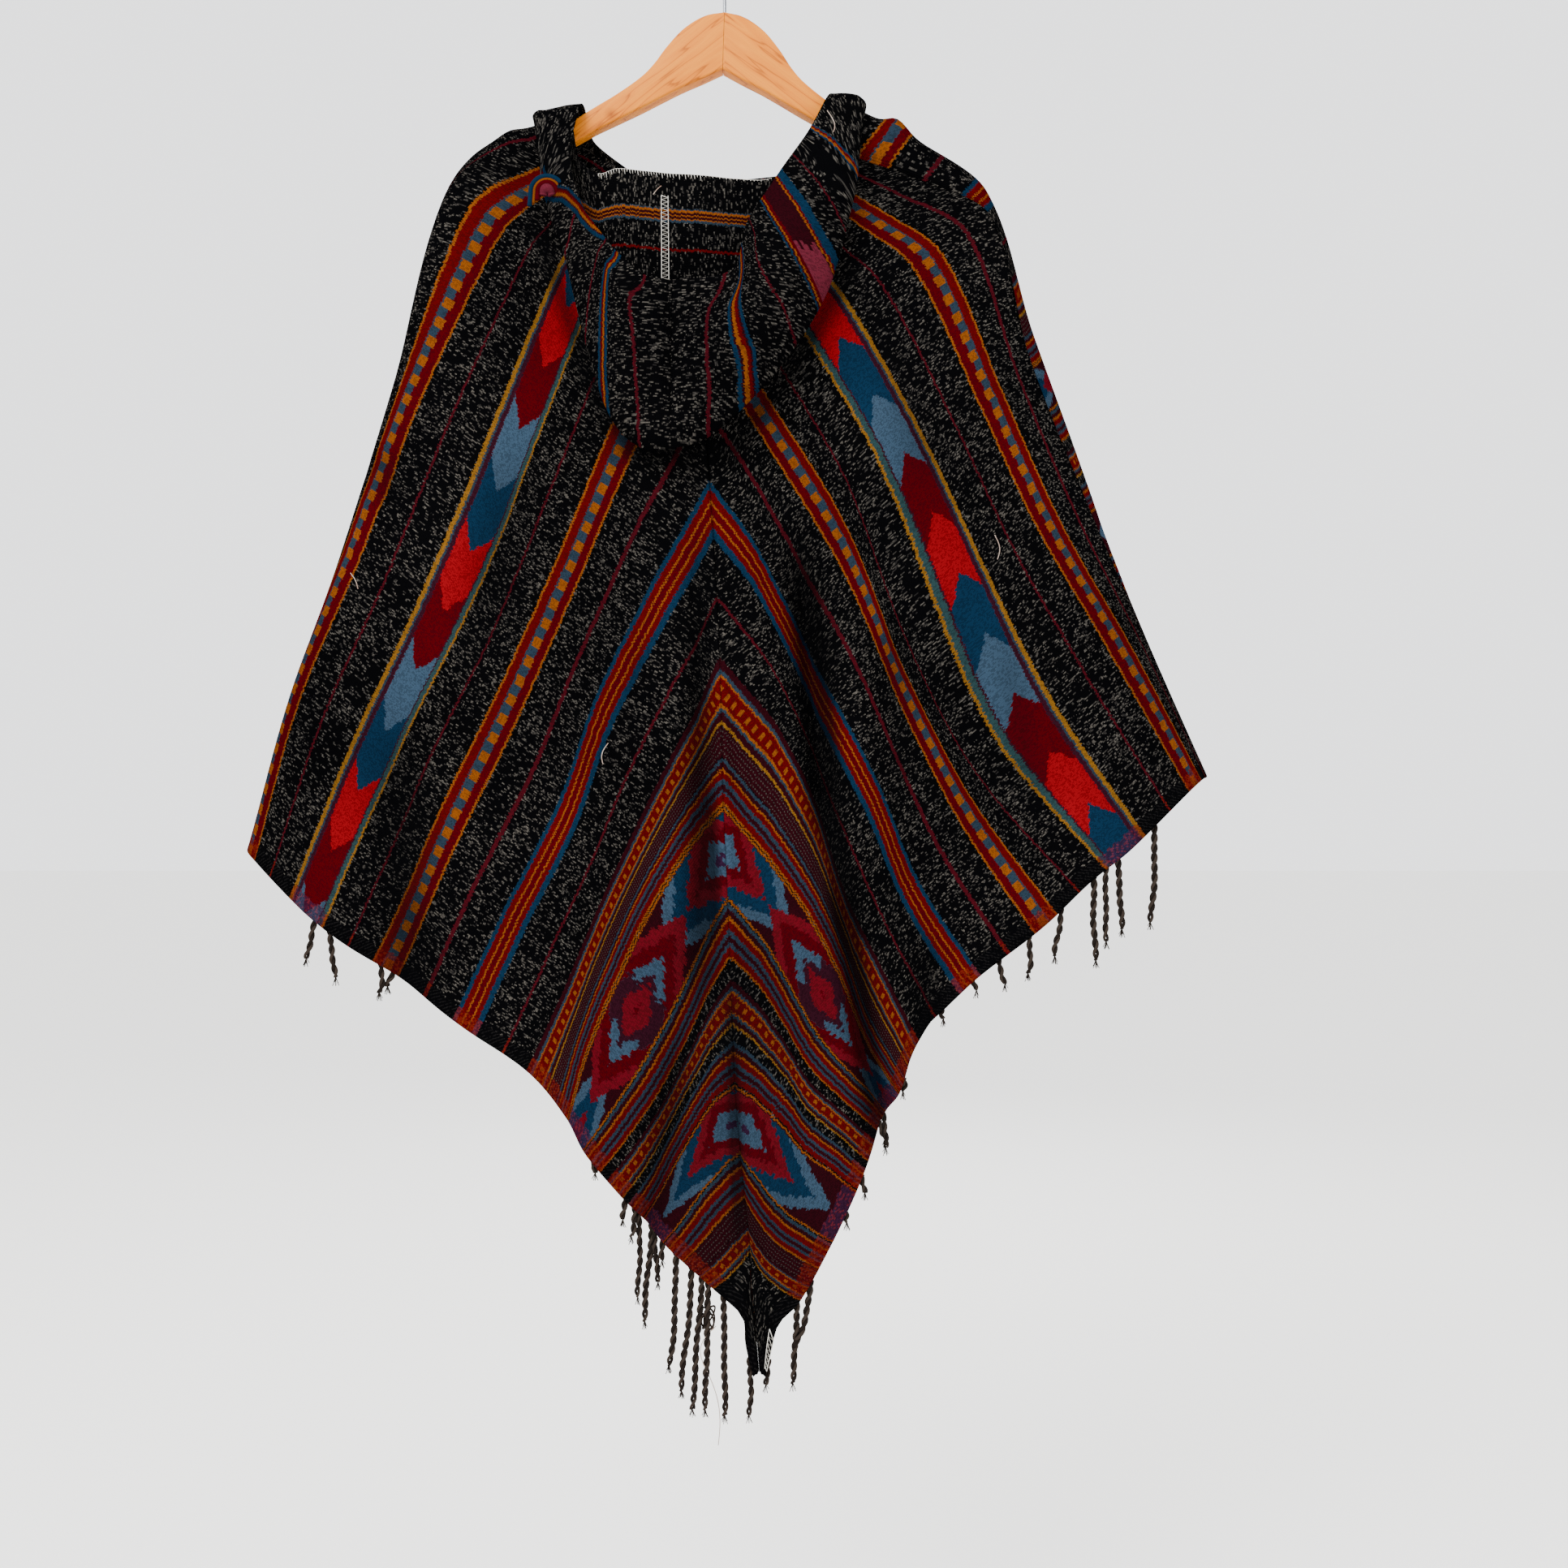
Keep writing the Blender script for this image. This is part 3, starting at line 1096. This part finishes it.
def seam_skin(points):
    """The cloth dips into its seams and is a little raised beside them."""
    from_centre = np.linalg.norm(points - points[:, :1], axis=-1)
    from_side = np.linalg.norm(points - points[-1:], axis=-1)
    neck = (stripes > NECK_STRIPE)[:, None]
    near = np.minimum(np.where(neck, FAR, from_centre), from_side)
    raised = WELT["high"] * bell((near - WELT["at"]) / WELT["wide"])
    return raised - WELT["deep"] * bell(near / WELT["narrow"])


def fabric_back(points):
    across = np.broadcast_to(stripes[:, None], points.shape[:2])
    length = arc_length(points, 1)
    along = length[:, -1:] - length
    return columns(across, along)


# Where the front's stripes start, measured from its hem
FRONT_SHIFT = 77
# On the right the arrow band is drawn outwards higher up, as the cloth is stretched there
DRAWN = {"stripe": 620, "half": 45, "far": 8, "from_hem": 130, "over": 220}


def fabric_drawn(points):
    uv = fabric_back(points)
    near = bell((uv[..., 0] - DRAWN["stripe"]) / DRAWN["half"])
    high = ease((uv[..., 1] - DRAWN["from_hem"]) / DRAWN["over"])
    return uv - columns(DRAWN["far"] * near * high, np.zeros_like(near))


def fabric_front(points):
    length = arc_length(points, 1)
    from_hem = length[:, -1:] - length
    across = np.abs(from_hem - FRONT_SHIFT)
    along = np.broadcast_to(stripes[:, None], points.shape[:2])
    return columns(across, along)


SHEETS = [
    ("cloth_back_left", panel_back_left, cloth_left, fabric_back, "back_left"),
    ("cloth_back_right", panel_back_right, cloth_right, fabric_drawn, "back_right"),
    ("cloth_front_left", panel_front_left, cloth_front, fabric_front, "front_left"),
    ("cloth_front_right", panel_front_right, cloth_front, fabric_front, "front_right"),
]
for name, (points, out), material, fabric, node in SHEETS:
    folds = BACK_FOLDS + DARK_SIDES if "back" in name else FRONT_FOLDS
    obj = wall_object(name, points, out, fabric(points), material, skin=seam_skin(points),
                      hollow=hollows(points, folds))
    dressed(obj, "poncho_cloth", node)

# Hood
FINE_ROUND = 150
FINE_DOWN = 110
rounds = np.linspace(0, 9, FINE_ROUND)
downs = np.linspace(0, 1, FINE_DOWN)

# Columns: place round the neck, distance from the centre seam, measured round the outside
ACROSS_LEFT = [
    [0, 0], [1, 24], [2, 56], [2.9, 94], [3.55, 127], [4.15, 159], [4.6, 180], [5, 202],
    [5.4, 238], [6, 282], [7, 336], [8, 412], [9, 473],
]
ACROSS_RIGHT = [
    [0, 0], [1, 32], [2, 65], [2.9, 109], [3.55, 140], [4.15, 172], [4.6, 199], [5, 226],
    [5.4, 263], [6, 305], [7, 365], [8, 447], [9, 503],
]


# Relief of the hood: groove of the crown seam, pulls below "low" and sags above "high"
GROOVE = {"x": -40, "deep": 3.0, "wide": 5.0}
PULL = {"high": 2.2, "pitch": 11.0, "low": -330, "over": 90}
SAG = {"high": 1.6, "pitch": 16.0, "slant": 30.0, "above": -345, "over": 50}
HOOD_RIPPLE = {"size": 40, "high": 0.7}
HOOD_OUTER = {"from": 0.55, "over": 0.1}
HOOD_RELIEF = 0.9


def hood_relief(points):
    """Gathers and soft dents of the hood, in millimetres out of its surface."""
    x, z = points[..., 0], points[..., 2]
    aside = x - GROOVE["x"]
    outer = ease((downs - HOOD_OUTER["from"]) / HOOD_OUTER["over"])[None, :]
    groove = -GROOVE["deep"] * bell(aside / GROOVE["wide"])
    pull = PULL["high"] * np.sin(aside / PULL["pitch"]) * ease((PULL["low"] - z) / PULL["over"])
    wave = np.sin(z / SAG["pitch"] + x / SAG["slant"])
    sag = SAG["high"] * wave * ease((z - SAG["above"]) / SAG["over"])
    return outer * (groove + pull + sag) + ripple(x, z, **HOOD_RIPPLE)


def make_hood(table, flip):
    points = hood_points(table, rounds, downs)
    out = normals(points) * flip
    points = points + out * hood_relief(points)[..., None] * HOOD_RELIEF
    return [points, normals(points) * flip]


hood_right = make_hood(HOOD_RIGHT, 1)
hood_left = make_hood(HOOD_LEFT, -1)
shared(hood_right, hood_left, (0, slice(None)))
shared(hood_right, hood_left, (-1, slice(None)))


# Columns: place down the pouch, and how far out the stripes swing there
SWING_LEFT = [[0, 0], [0.57, 2], [0.65, 5], [0.81, 13], [0.905, 18], [0.935, 13], [0.97, 4], [1, 0]]
SWING_RIGHT = [[0, 0], [0.57, -1], [0.65, 0], [0.75, -6], [0.84, -9], [0.89, -6], [0.94, 9], [1, 17]]
# The left wing's stripe crosses to the face edge. Columns: place round the neck, place down.
CROSSING = [[2.9, 1.03], [3.4, 0.985], [4, 0.94], [4.5, 0.82], [5, 0.57], [5.2, 0.5]]
CROSSING_HALF = 7.9
# The middle of the chart's stripe that crosses, and the value of a place where nothing crosses
CROSSING_STRIPE = 60.9
NOWHERE = 9
# Above this place round the neck the cloth is measured from its own edge, below it by height
LEVEL = {"from": 4.5, "over": 1.0, "z": -150}
# The swing grows over the first two places round the neck and is gone after place 3.6
SWINGS = {"in": 2, "out": 3.6, "over": 1.2}


def hood_object(name, piece, node, material, swing, across_table):
    points, out = piece
    shape = points.shape[:2]
    across = np.broadcast_to(np.interp(rounds, *zip(*across_table))[:, None], shape)
    pushed = curve(*zip(*swing), downs)
    # The stripes swing near the pouch's sides and stay straight at its seam
    share = ease(rounds / SWINGS["in"]) * ease((SWINGS["out"] - rounds) / SWINGS["over"])
    across = np.maximum(across - pushed[None, :] * share[:, None], 0)
    length = arc_length(points, 1)
    level = ease((rounds - LEVEL["from"]) / LEVEL["over"])[:, None]
    along = level * length + (1 - level) * (LEVEL["z"] - points[..., 2])
    outer = columns(across, along)
    side = arc_length(points, 0)
    inner = columns(INNER_FROM + length, side)
    use_inner = np.broadcast_to((downs <= POUCH_TURN)[None, :], shape)
    choices = [(inner, use_inner)]
    if node == "hood_left":
        centre = np.interp(rounds, *zip(*CROSSING), NOWHERE, NOWHERE)
        reach = (length[:, -1] - length[:, int(POUCH_TURN * FINE_DOWN)]) / (1 - POUCH_TURN)
        off = (downs[None, :] - centre[:, None]) * reach[:, None]
        crossing = columns(CROSSING_STRIPE + off, side)
        choices.append((crossing, (np.abs(off) < CROSSING_HALF + 1) & ~use_inner))
    obj = wall_object(name, points, out, outer, material, choices)
    dressed(obj, "hood_cloth", node)


hood_object("cloth_hood_left", hood_left, "hood_left", cloth_hood_left, SWING_LEFT, ACROSS_LEFT)
hood_object("cloth_hood_right", hood_right, "hood_right", cloth_hood_right, SWING_RIGHT, ACROSS_RIGHT)


# Hanger
CLOSED = 0.01
SMOOTH_DEG = 40


def arm_object(name, mirror, node):
    tilt = math.radians(ARM_TILT)
    table = np.array(ARM, float)
    straight = np.linspace(ARM[0][0], ROUND_FROM, 60)
    reach = np.concatenate([straight, np.linspace(ROUND_FROM + 1, ARM[-1][0], 8)])
    top, bottom, thick = curve(table[:, 0], table[:, 1:], reach).T
    half = thick / 2
    rounding = np.minimum(ARM_ROUND, np.minimum(half, (top - bottom) / 2) - FLAT_LEFT)
    ring = []
    for sy, sz in ((-1, 1), (1, 1), (1, -1), (-1, -1)):
        turns = np.radians(np.linspace(0, 90, CORNER_STEPS))
        for a in turns[::-1] if sy * sz > 0 else turns:
            y = sy * (half - rounding + rounding * math.cos(a))
            z = (top if sz > 0 else bottom) - sz * rounding + sz * rounding * math.sin(a)
            x = mirror * reach
            up = z - APEX_Z
            ring.append(columns(
                x * math.cos(tilt) + up * math.sin(tilt),
                y,
                APEX_Z + up * math.cos(tilt) - x * math.sin(tilt),
            ))
    rings = np.stack(ring, axis=1)
    ends = [rings[:1].mean(axis=1, keepdims=True), rings[-1:].mean(axis=1, keepdims=True)]
    rings = np.concatenate([ends[0] + (rings[:1] - ends[0]) * CLOSED, rings,
                            ends[1] + (rings[-1:] - ends[1]) * CLOSED])
    quads = ring_quads(len(rings), rings.shape[1])
    if mirror > 0:
        quads = quads[:, ::-1]
    obj = mesh_object(name, rings.reshape(-1, 3), quads, wood)
    bpy.ops.object.select_all(action="DESELECT")
    bpy.context.view_layer.objects.active = obj
    obj.select_set(True)
    bpy.ops.object.shade_smooth_by_angle(angle=math.radians(SMOOTH_DEG))
    return dressed(obj, "hanger_wood", node)


arm_object("wood_arm_left", -1, "hanger_arm_left")
arm_object("wood_arm_right", 1, "hanger_arm_right")

HOOK_STEPS = 150
loop = HOOK["loop"]
angles = np.radians(np.linspace(HOOK["start_deg"], HOOK["end_deg"], 60))
bend = columns(loop * np.cos(angles), 0 * angles, HOOK["centre_z"] + loop * np.sin(angles))
# The stem's points: sideways, and up from the arms' apex
stem = np.array([[x, 0, APEX_Z + up] for x, up in ((0, 0.3), (0, 6), (0, 12), (0.6, 17))])
knots = np.arange(len(stem) + len(bend))
hook_path = curve(knots, np.concatenate([stem, bend]), np.linspace(0, knots[-1], HOOK_STEPS))
dressed(mesh_object("wire_hook", *tube(hook_path, HOOK["wire"], 14), steel), "hook_wire", "hook")


# Fringe: two-ply twisted strands behind the hem, and the narrow backing they hang from
# Millimetres for one turn of the plies, radius of a ply and its offset as shares, and the frayed hairs
TWIST = 16.0
PLY = 0.35
PLY_APART = 0.92
HAIRS = 8
HAIR = {"long": 5.0, "more": 3.5, "spread": 1.0, "wider": 1.8, "flare": 1.5, "deep": 0.9,
        "above": 1.5, "thick": 0.34}
STRAND_STEP = 1.3
# Waves of a strand, sideways and in depth: height and number of radians over its length
SWAY = [(1.6, 3.1), (0.9, 9.0)]
DEPTH_WAVE = (0.6, 2.3)
DRIFT_POWER = 1.4
# A ply's thickness at its root, how much of it is lost at the tip, and how late
TAPER = {"root": 1.1, "lost": 0.35, "power": 5, "least": 0.3}
# Play between cloth and strand, how steep the cloth may stand, and how far roots are above the hem
ROOT = {"play": 0.5, "steepest": 0.5, "up": 1.5}
# Steps between the seeds of strands, and factors that make their sines differ
SEED_STEP = 1.37
MIX = (1.7, 2.1, 2.3)
# The backing strip: from and to stripe, and its place and radius behind the hem
BACKING = {"from": 12, "to": 688, "inset": 0.9, "up": 1.6, "radius": 0.5}


def strand(root_at, length, drift, diameter, seed):
    """Tubes of one strand: its dark ply, its pale ply, and the hairs of its frayed end."""
    steps = max(16, int(length / STRAND_STEP))
    t = np.linspace(0, 1, steps)
    slow, quick = (high * np.sin(turns * t + k * seed) for k, (high, turns) in enumerate(SWAY, 1))
    sway = (slow + quick) * t
    high, turns = DEPTH_WAVE
    core = columns(
        root_at[0] + drift * t**DRIFT_POWER + sway,
        root_at[1] + high * np.sin(turns * t + seed * MIX[0]),
        root_at[2] - length * t,
    )
    ply = diameter * PLY
    spin = core[:, 2] / TWIST * CIRCLE + seed
    plies = []
    for half_turn in (0, math.pi):
        offset = columns(np.cos(spin + half_turn), np.sin(spin + half_turn), 0 * spin)
        thick = ply * np.clip(TAPER["root"] - TAPER["lost"] * t**TAPER["power"], TAPER["least"], 1)
        plies.append(tube(core + offset * ply * PLY_APART, thick, 7))
    hairs = []
    for k in range(HAIRS):
        a = seed * MIX[1] + k * CIRCLE / HAIRS
        hair = HAIR["long"] + HAIR["more"] * abs(math.sin(seed + MIX[0] * k))
        s = np.linspace(0, 1, 5)
        spread = HAIR["spread"] + HAIR["wider"] * abs(math.sin(MIX[2] * seed + k))
        aside = math.cos(a) * spread * s**HAIR["flare"]
        path = core[-1] + columns(aside, math.sin(a) * HAIR["deep"] * s, HAIR["above"] - hair * s)
        hairs.append(tube(path, HAIR["thick"], 3))
    return plies, hairs


def fringe_object(name, piece, strands, node):
    points, out = piece
    hem, normal = points[:, -1], out[:, -1]
    dark, pale = [], []
    for n, (stripe, length, drift, diameter) in enumerate(strands):
        facing = np.interp(stripe, stripes, normal[:, 1])
        inset = (CLOTH / 2 + ROOT["play"] + diameter / 2) / max(ROOT["steepest"], abs(facing))
        root_at = sampled(stripe, stripes, hem) + [0, inset, ROOT["up"]]
        plies, hairs = strand(root_at, length, drift, diameter, seed=n * SEED_STEP + len(strands))
        dark += [plies[0]] + hairs[::2]
        pale += [plies[1]] + hairs[1::2]
    use = (stripes > BACKING["from"]) & (stripes < BACKING["to"])
    line = hem[use] - normal[use] * (CLOTH / 2 + BACKING["inset"]) + [0, 0, BACKING["up"]]
    dark.append(tube(line, BACKING["radius"], 5))
    obj = mesh_object(name, *join(dark + pale), yarn)
    obj.data.materials.append(yarn_pale)
    second = np.arange(len(obj.data.polygons)) >= len(join(dark)[1])
    obj.data.polygons.foreach_set("material_index", second.astype(np.int32))
    return dressed(obj, "fringe_yarn", node)


fringe_left = fringe_object("yarn_fringe_left", panel_back_left, STRANDS_LEFT, "fringe_back_left")
fringe_right = fringe_object("yarn_fringe_right", panel_back_right, STRANDS_RIGHT, "fringe_back_right")


# Serging: white thread over the raw neck edge, down the hood's seam and up one side of the tail
OUTWARD = np.array([0.0, -1.0, 0.0])


def resampled(line, pitch):
    """A line's points at an even pitch."""
    length = arc_length(line[None], 1)[0]
    at = np.linspace(0, length[-1], max(2, int(length[-1] / pitch)))
    return sampled(at, length, line)


# Thickness of a ladder's rails as a share of its zigzag
RAIL_THIN = 0.8


def ladder(left, right, pitch, thick, lift):
    """Zigzag of thread between two lines, with a thread along each of them."""
    count = len(resampled(left, pitch))
    rails = []
    for line in (left, right):
        at = np.linspace(0, len(line) - 1, count)
        rails.append(sampled(at, np.arange(len(line)), line) + OUTWARD * lift)
    zig = np.where(np.arange(count)[:, None] % 2 == 0, rails[0], rails[1])
    return [tube(zig, thick, 5)] + [tube(rail, thick * RAIL_THIN, 4) for rail in rails]


# The thread along a raw edge, and the stitches that run down the cloth from it
EDGE = {"lift": 0.6, "radius": 0.4}
STITCH = {"lift": 0.9, "bow": 0.5, "radius": 0.22, "even": 0.75, "uneven": 0.35, "step": 2.7}
STITCH_WAY = np.array([0.15, 0.0, -1.0])


def overlock(line, depth, pitch, lift):
    """Comb of uneven stitches from a raw edge down the cloth, and the thread along the edge."""
    base = resampled(line, pitch)
    count = len(base)
    uneven = STITCH["even"] + STITCH["uneven"] * np.sin(np.arange(count) * STITCH["step"])
    reach = depth * uneven
    parts = [tube(base + OUTWARD * EDGE["lift"], EDGE["radius"], 6)]
    for k in range(count):
        start = base[k] + OUTWARD * STITCH["lift"]
        end = start + STITCH_WAY * reach[k]
        middle = (start + end) / 2 + OUTWARD * STITCH["bow"]
        parts.append(tube(np.stack([start, middle, end]) + OUTWARD * lift, STITCH["radius"], 4))
    return parts


def hood_line(piece, at_round, low, high):
    """The hood's middle surface at one place round the neck, between two places down it."""
    points = piece[0]
    use = (downs >= low) & (downs <= high)
    return np.stack([sampled(at_round, rounds, points[:, j]) for j in np.flatnonzero(use)])


# The stitches are deep on the left, up to this x, and short on the right
DEEP_TO = -18
NECK_END = 3.05
SEAM = {"outer": 0.36, "inner": 0.08, "from": 0.03, "to": 0.24}
TAIL = {"from": 6, "to": 34, "edge": -2, "inset": -36}
serging = []
for points, _ in (hood_left, hood_right):
    edge = points[rounds <= NECK_END, 0]
    deep = edge[:, 0] < DEEP_TO
    for part, depth, pitch, lift in ((edge[deep], 4.0, 2.1, 0.3), (edge[~deep], 1.4, 2.6, 0.2)):
        if len(part):
            serging += overlock(part, depth, pitch, lift)
rails = [hood_line(hood_left, SEAM[side], SEAM["from"], SEAM["to"]) for side in ("outer", "inner")]
serging += ladder(*rails, pitch=1.7, thick=0.36, lift=1.5)
tail = panel_back_right[0][(stripes > TAIL["from"]) & (stripes < TAIL["to"])]
serging += ladder(tail[:, TAIL["edge"]], tail[:, TAIL["inset"]], pitch=1.9, thick=0.32, lift=1.5)
dressed(mesh_object("thread_serging", *join(serging), thread), "fringe_yarn")

# Loose ends of thread. Columns: x and z of the start, x and z of the end, sideways bow, y.
LOOSE = [
    [83.7, -160.6, 79.8, -188.2, 8, -30],
    [-302.5, -532.7, -296.1, -545.8, 1, -24],
    [-92, -671, -96, -688, -3, -38],
    [218.7, -503.2, 220.7, -522.9, 3, -31],
    [-57.3, -224.9, -50.7, -218.3, -1, -21],
    [-6, -1142, -16, -1173, -7, -27],
    [-16, -1173, -4.2, -1238, 6, -27],
]
LOOSE_WAVE = 0.8
LOOSE_RADIUS = 0.35
loose = []
for x0, z0, x1, z1, bow, y in LOOSE:
    t = np.linspace(0, 1, 14)
    loose.append(tube(columns(
        x0 + (x1 - x0) * t + bow * np.sin(math.pi * t),
        y + LOOSE_WAVE * np.sin(5 * t),
        z0 + (z1 - z0) * t,
    ), LOOSE_RADIUS, 5))
dressed(mesh_object("loose_threads", *join(loose), yarn_light), "fringe_yarn")

# A knot of loose warp behind the hem, beside the tail
TANGLE = {"x": -13, "y": -24, "z": -1136, "wide": 6, "high": 9, "turns": 5, "thick": 0.8}
turn = np.linspace(0, TANGLE["turns"] * CIRCLE, 160)
tangle = columns(
    TANGLE["x"] + TANGLE["wide"] * np.sin(turn) * np.cos(0.23 * turn),
    TANGLE["y"] + 2 * np.sin(1.7 * turn),
    TANGLE["z"] + TANGLE["high"] * np.cos(0.9 * turn + 0.4),
)
dressed(mesh_object("warp_tangle", *tube(tangle, TANGLE["thick"], 6), yarn_pale), "fringe_yarn")

# The curl of the left wing, where its stripes roll over its edge: arches on two short legs
CURL = {"x": -141, "y": -36, "z": -229, "leg": 11 / 14, "bulge": 3, "flat": 0.9,
        "right": [-0.3, -0.1, 1], "left": [0.1, -0.1, 1]}
# Columns: radius, half width, colour
ROLLS = [
    (13.5, 1.9, "blue"),
    (10.5, 1.3, "orange"),
    (7.6, 2.2, "dark_red"),
    (3, 3.4, "rose"),
]
for radius, half, colour in ROLLS:
    a = np.radians(np.linspace(0, 180, 24))
    leg = np.linspace(CURL["leg"] * radius, 0, 6)[:, None]
    right = np.array([CURL["x"] + radius, CURL["y"], CURL["z"]]) - leg * CURL["right"]
    left = np.array([CURL["x"] - radius, CURL["y"], CURL["z"]]) - leg[::-1] * CURL["left"]
    arch = columns(
        CURL["x"] + radius * np.cos(a),
        CURL["y"] - CURL["bulge"] * np.sin(a),
        CURL["z"] + radius * CURL["flat"] * np.sin(a),
    )
    material = plain_material(f"rolled_cloth_{colour}", colour, "black", 1200.0, 0.95, share=0.6)
    roll = tube(np.concatenate([right, arch[1:-1], left]), half, 10)
    dressed(mesh_object(f"hood_curl_{colour}", *roll, material), "hood_cloth")

# Camera, light and floor
camera_data = bpy.data.cameras.new("camera")
camera_data.sensor_width = SENSOR
camera_data.lens = SENSOR * -CAMERA["y"] / (PHOTO_SIDE * PHOTO_SCALE)
camera = bpy.data.objects.new("camera", camera_data)
camera.location = [CAMERA[k] * MM for k in "xyz"]
camera.rotation_euler = (math.radians(90), 0, 0)
bpy.context.scene.collection.objects.link(camera)
bpy.context.scene.camera = camera

SKY = (0.98, 0.985, 1.0, 1)
SKY_STRONG = 2.3
world = bpy.data.worlds.new("studio")
bpy.context.scene.world = world
world.use_nodes = True
background = world.node_tree.nodes["Background"]
background.inputs[0].default_value = SKY
background.inputs[1].default_value = SKY_STRONG


def area_light(name, place, aim, size, power):
    data = bpy.data.lights.new(name, "AREA")
    data.size = size
    data.energy = power
    light = bpy.data.objects.new(name, data)
    light.location = place
    way = np.array(aim, float) - np.array(place, float)
    light.rotation_euler = (
        math.atan2(math.hypot(way[0], way[1]), -way[2]),
        0,
        math.atan2(way[1], way[0]) - math.pi / 2,
    )
    bpy.context.scene.collection.objects.link(light)


# Metres. Columns: name, place, side of the lamp, power in watts.
TARGET = (0.0, 0.0, -0.65)
FLOOR_Z = -1.6
LAMPS = [
    ("key", (-1.3, -1.9, 1.1), 1.2, 110),
    ("fill", (1.9, -1.6, -0.2), 1.8, 22),
    ("back", (0.4, 2.2, 0.6), 1.8, 50),
]
for name, place, size, power in LAMPS:
    area_light(name, place, TARGET, size, power)

bpy.ops.object.select_all(action="DESELECT")
bpy.ops.mesh.primitive_plane_add(size=30, location=(0, 0, FLOOR_Z))
floor = bpy.context.active_object
floor.name = "floor"
bpy.ops.object.transform_apply(location=True, rotation=False, scale=False)
floor.data.materials.append(plain_material("pale_floor", "floor", "floor", 3.0, 0.9))

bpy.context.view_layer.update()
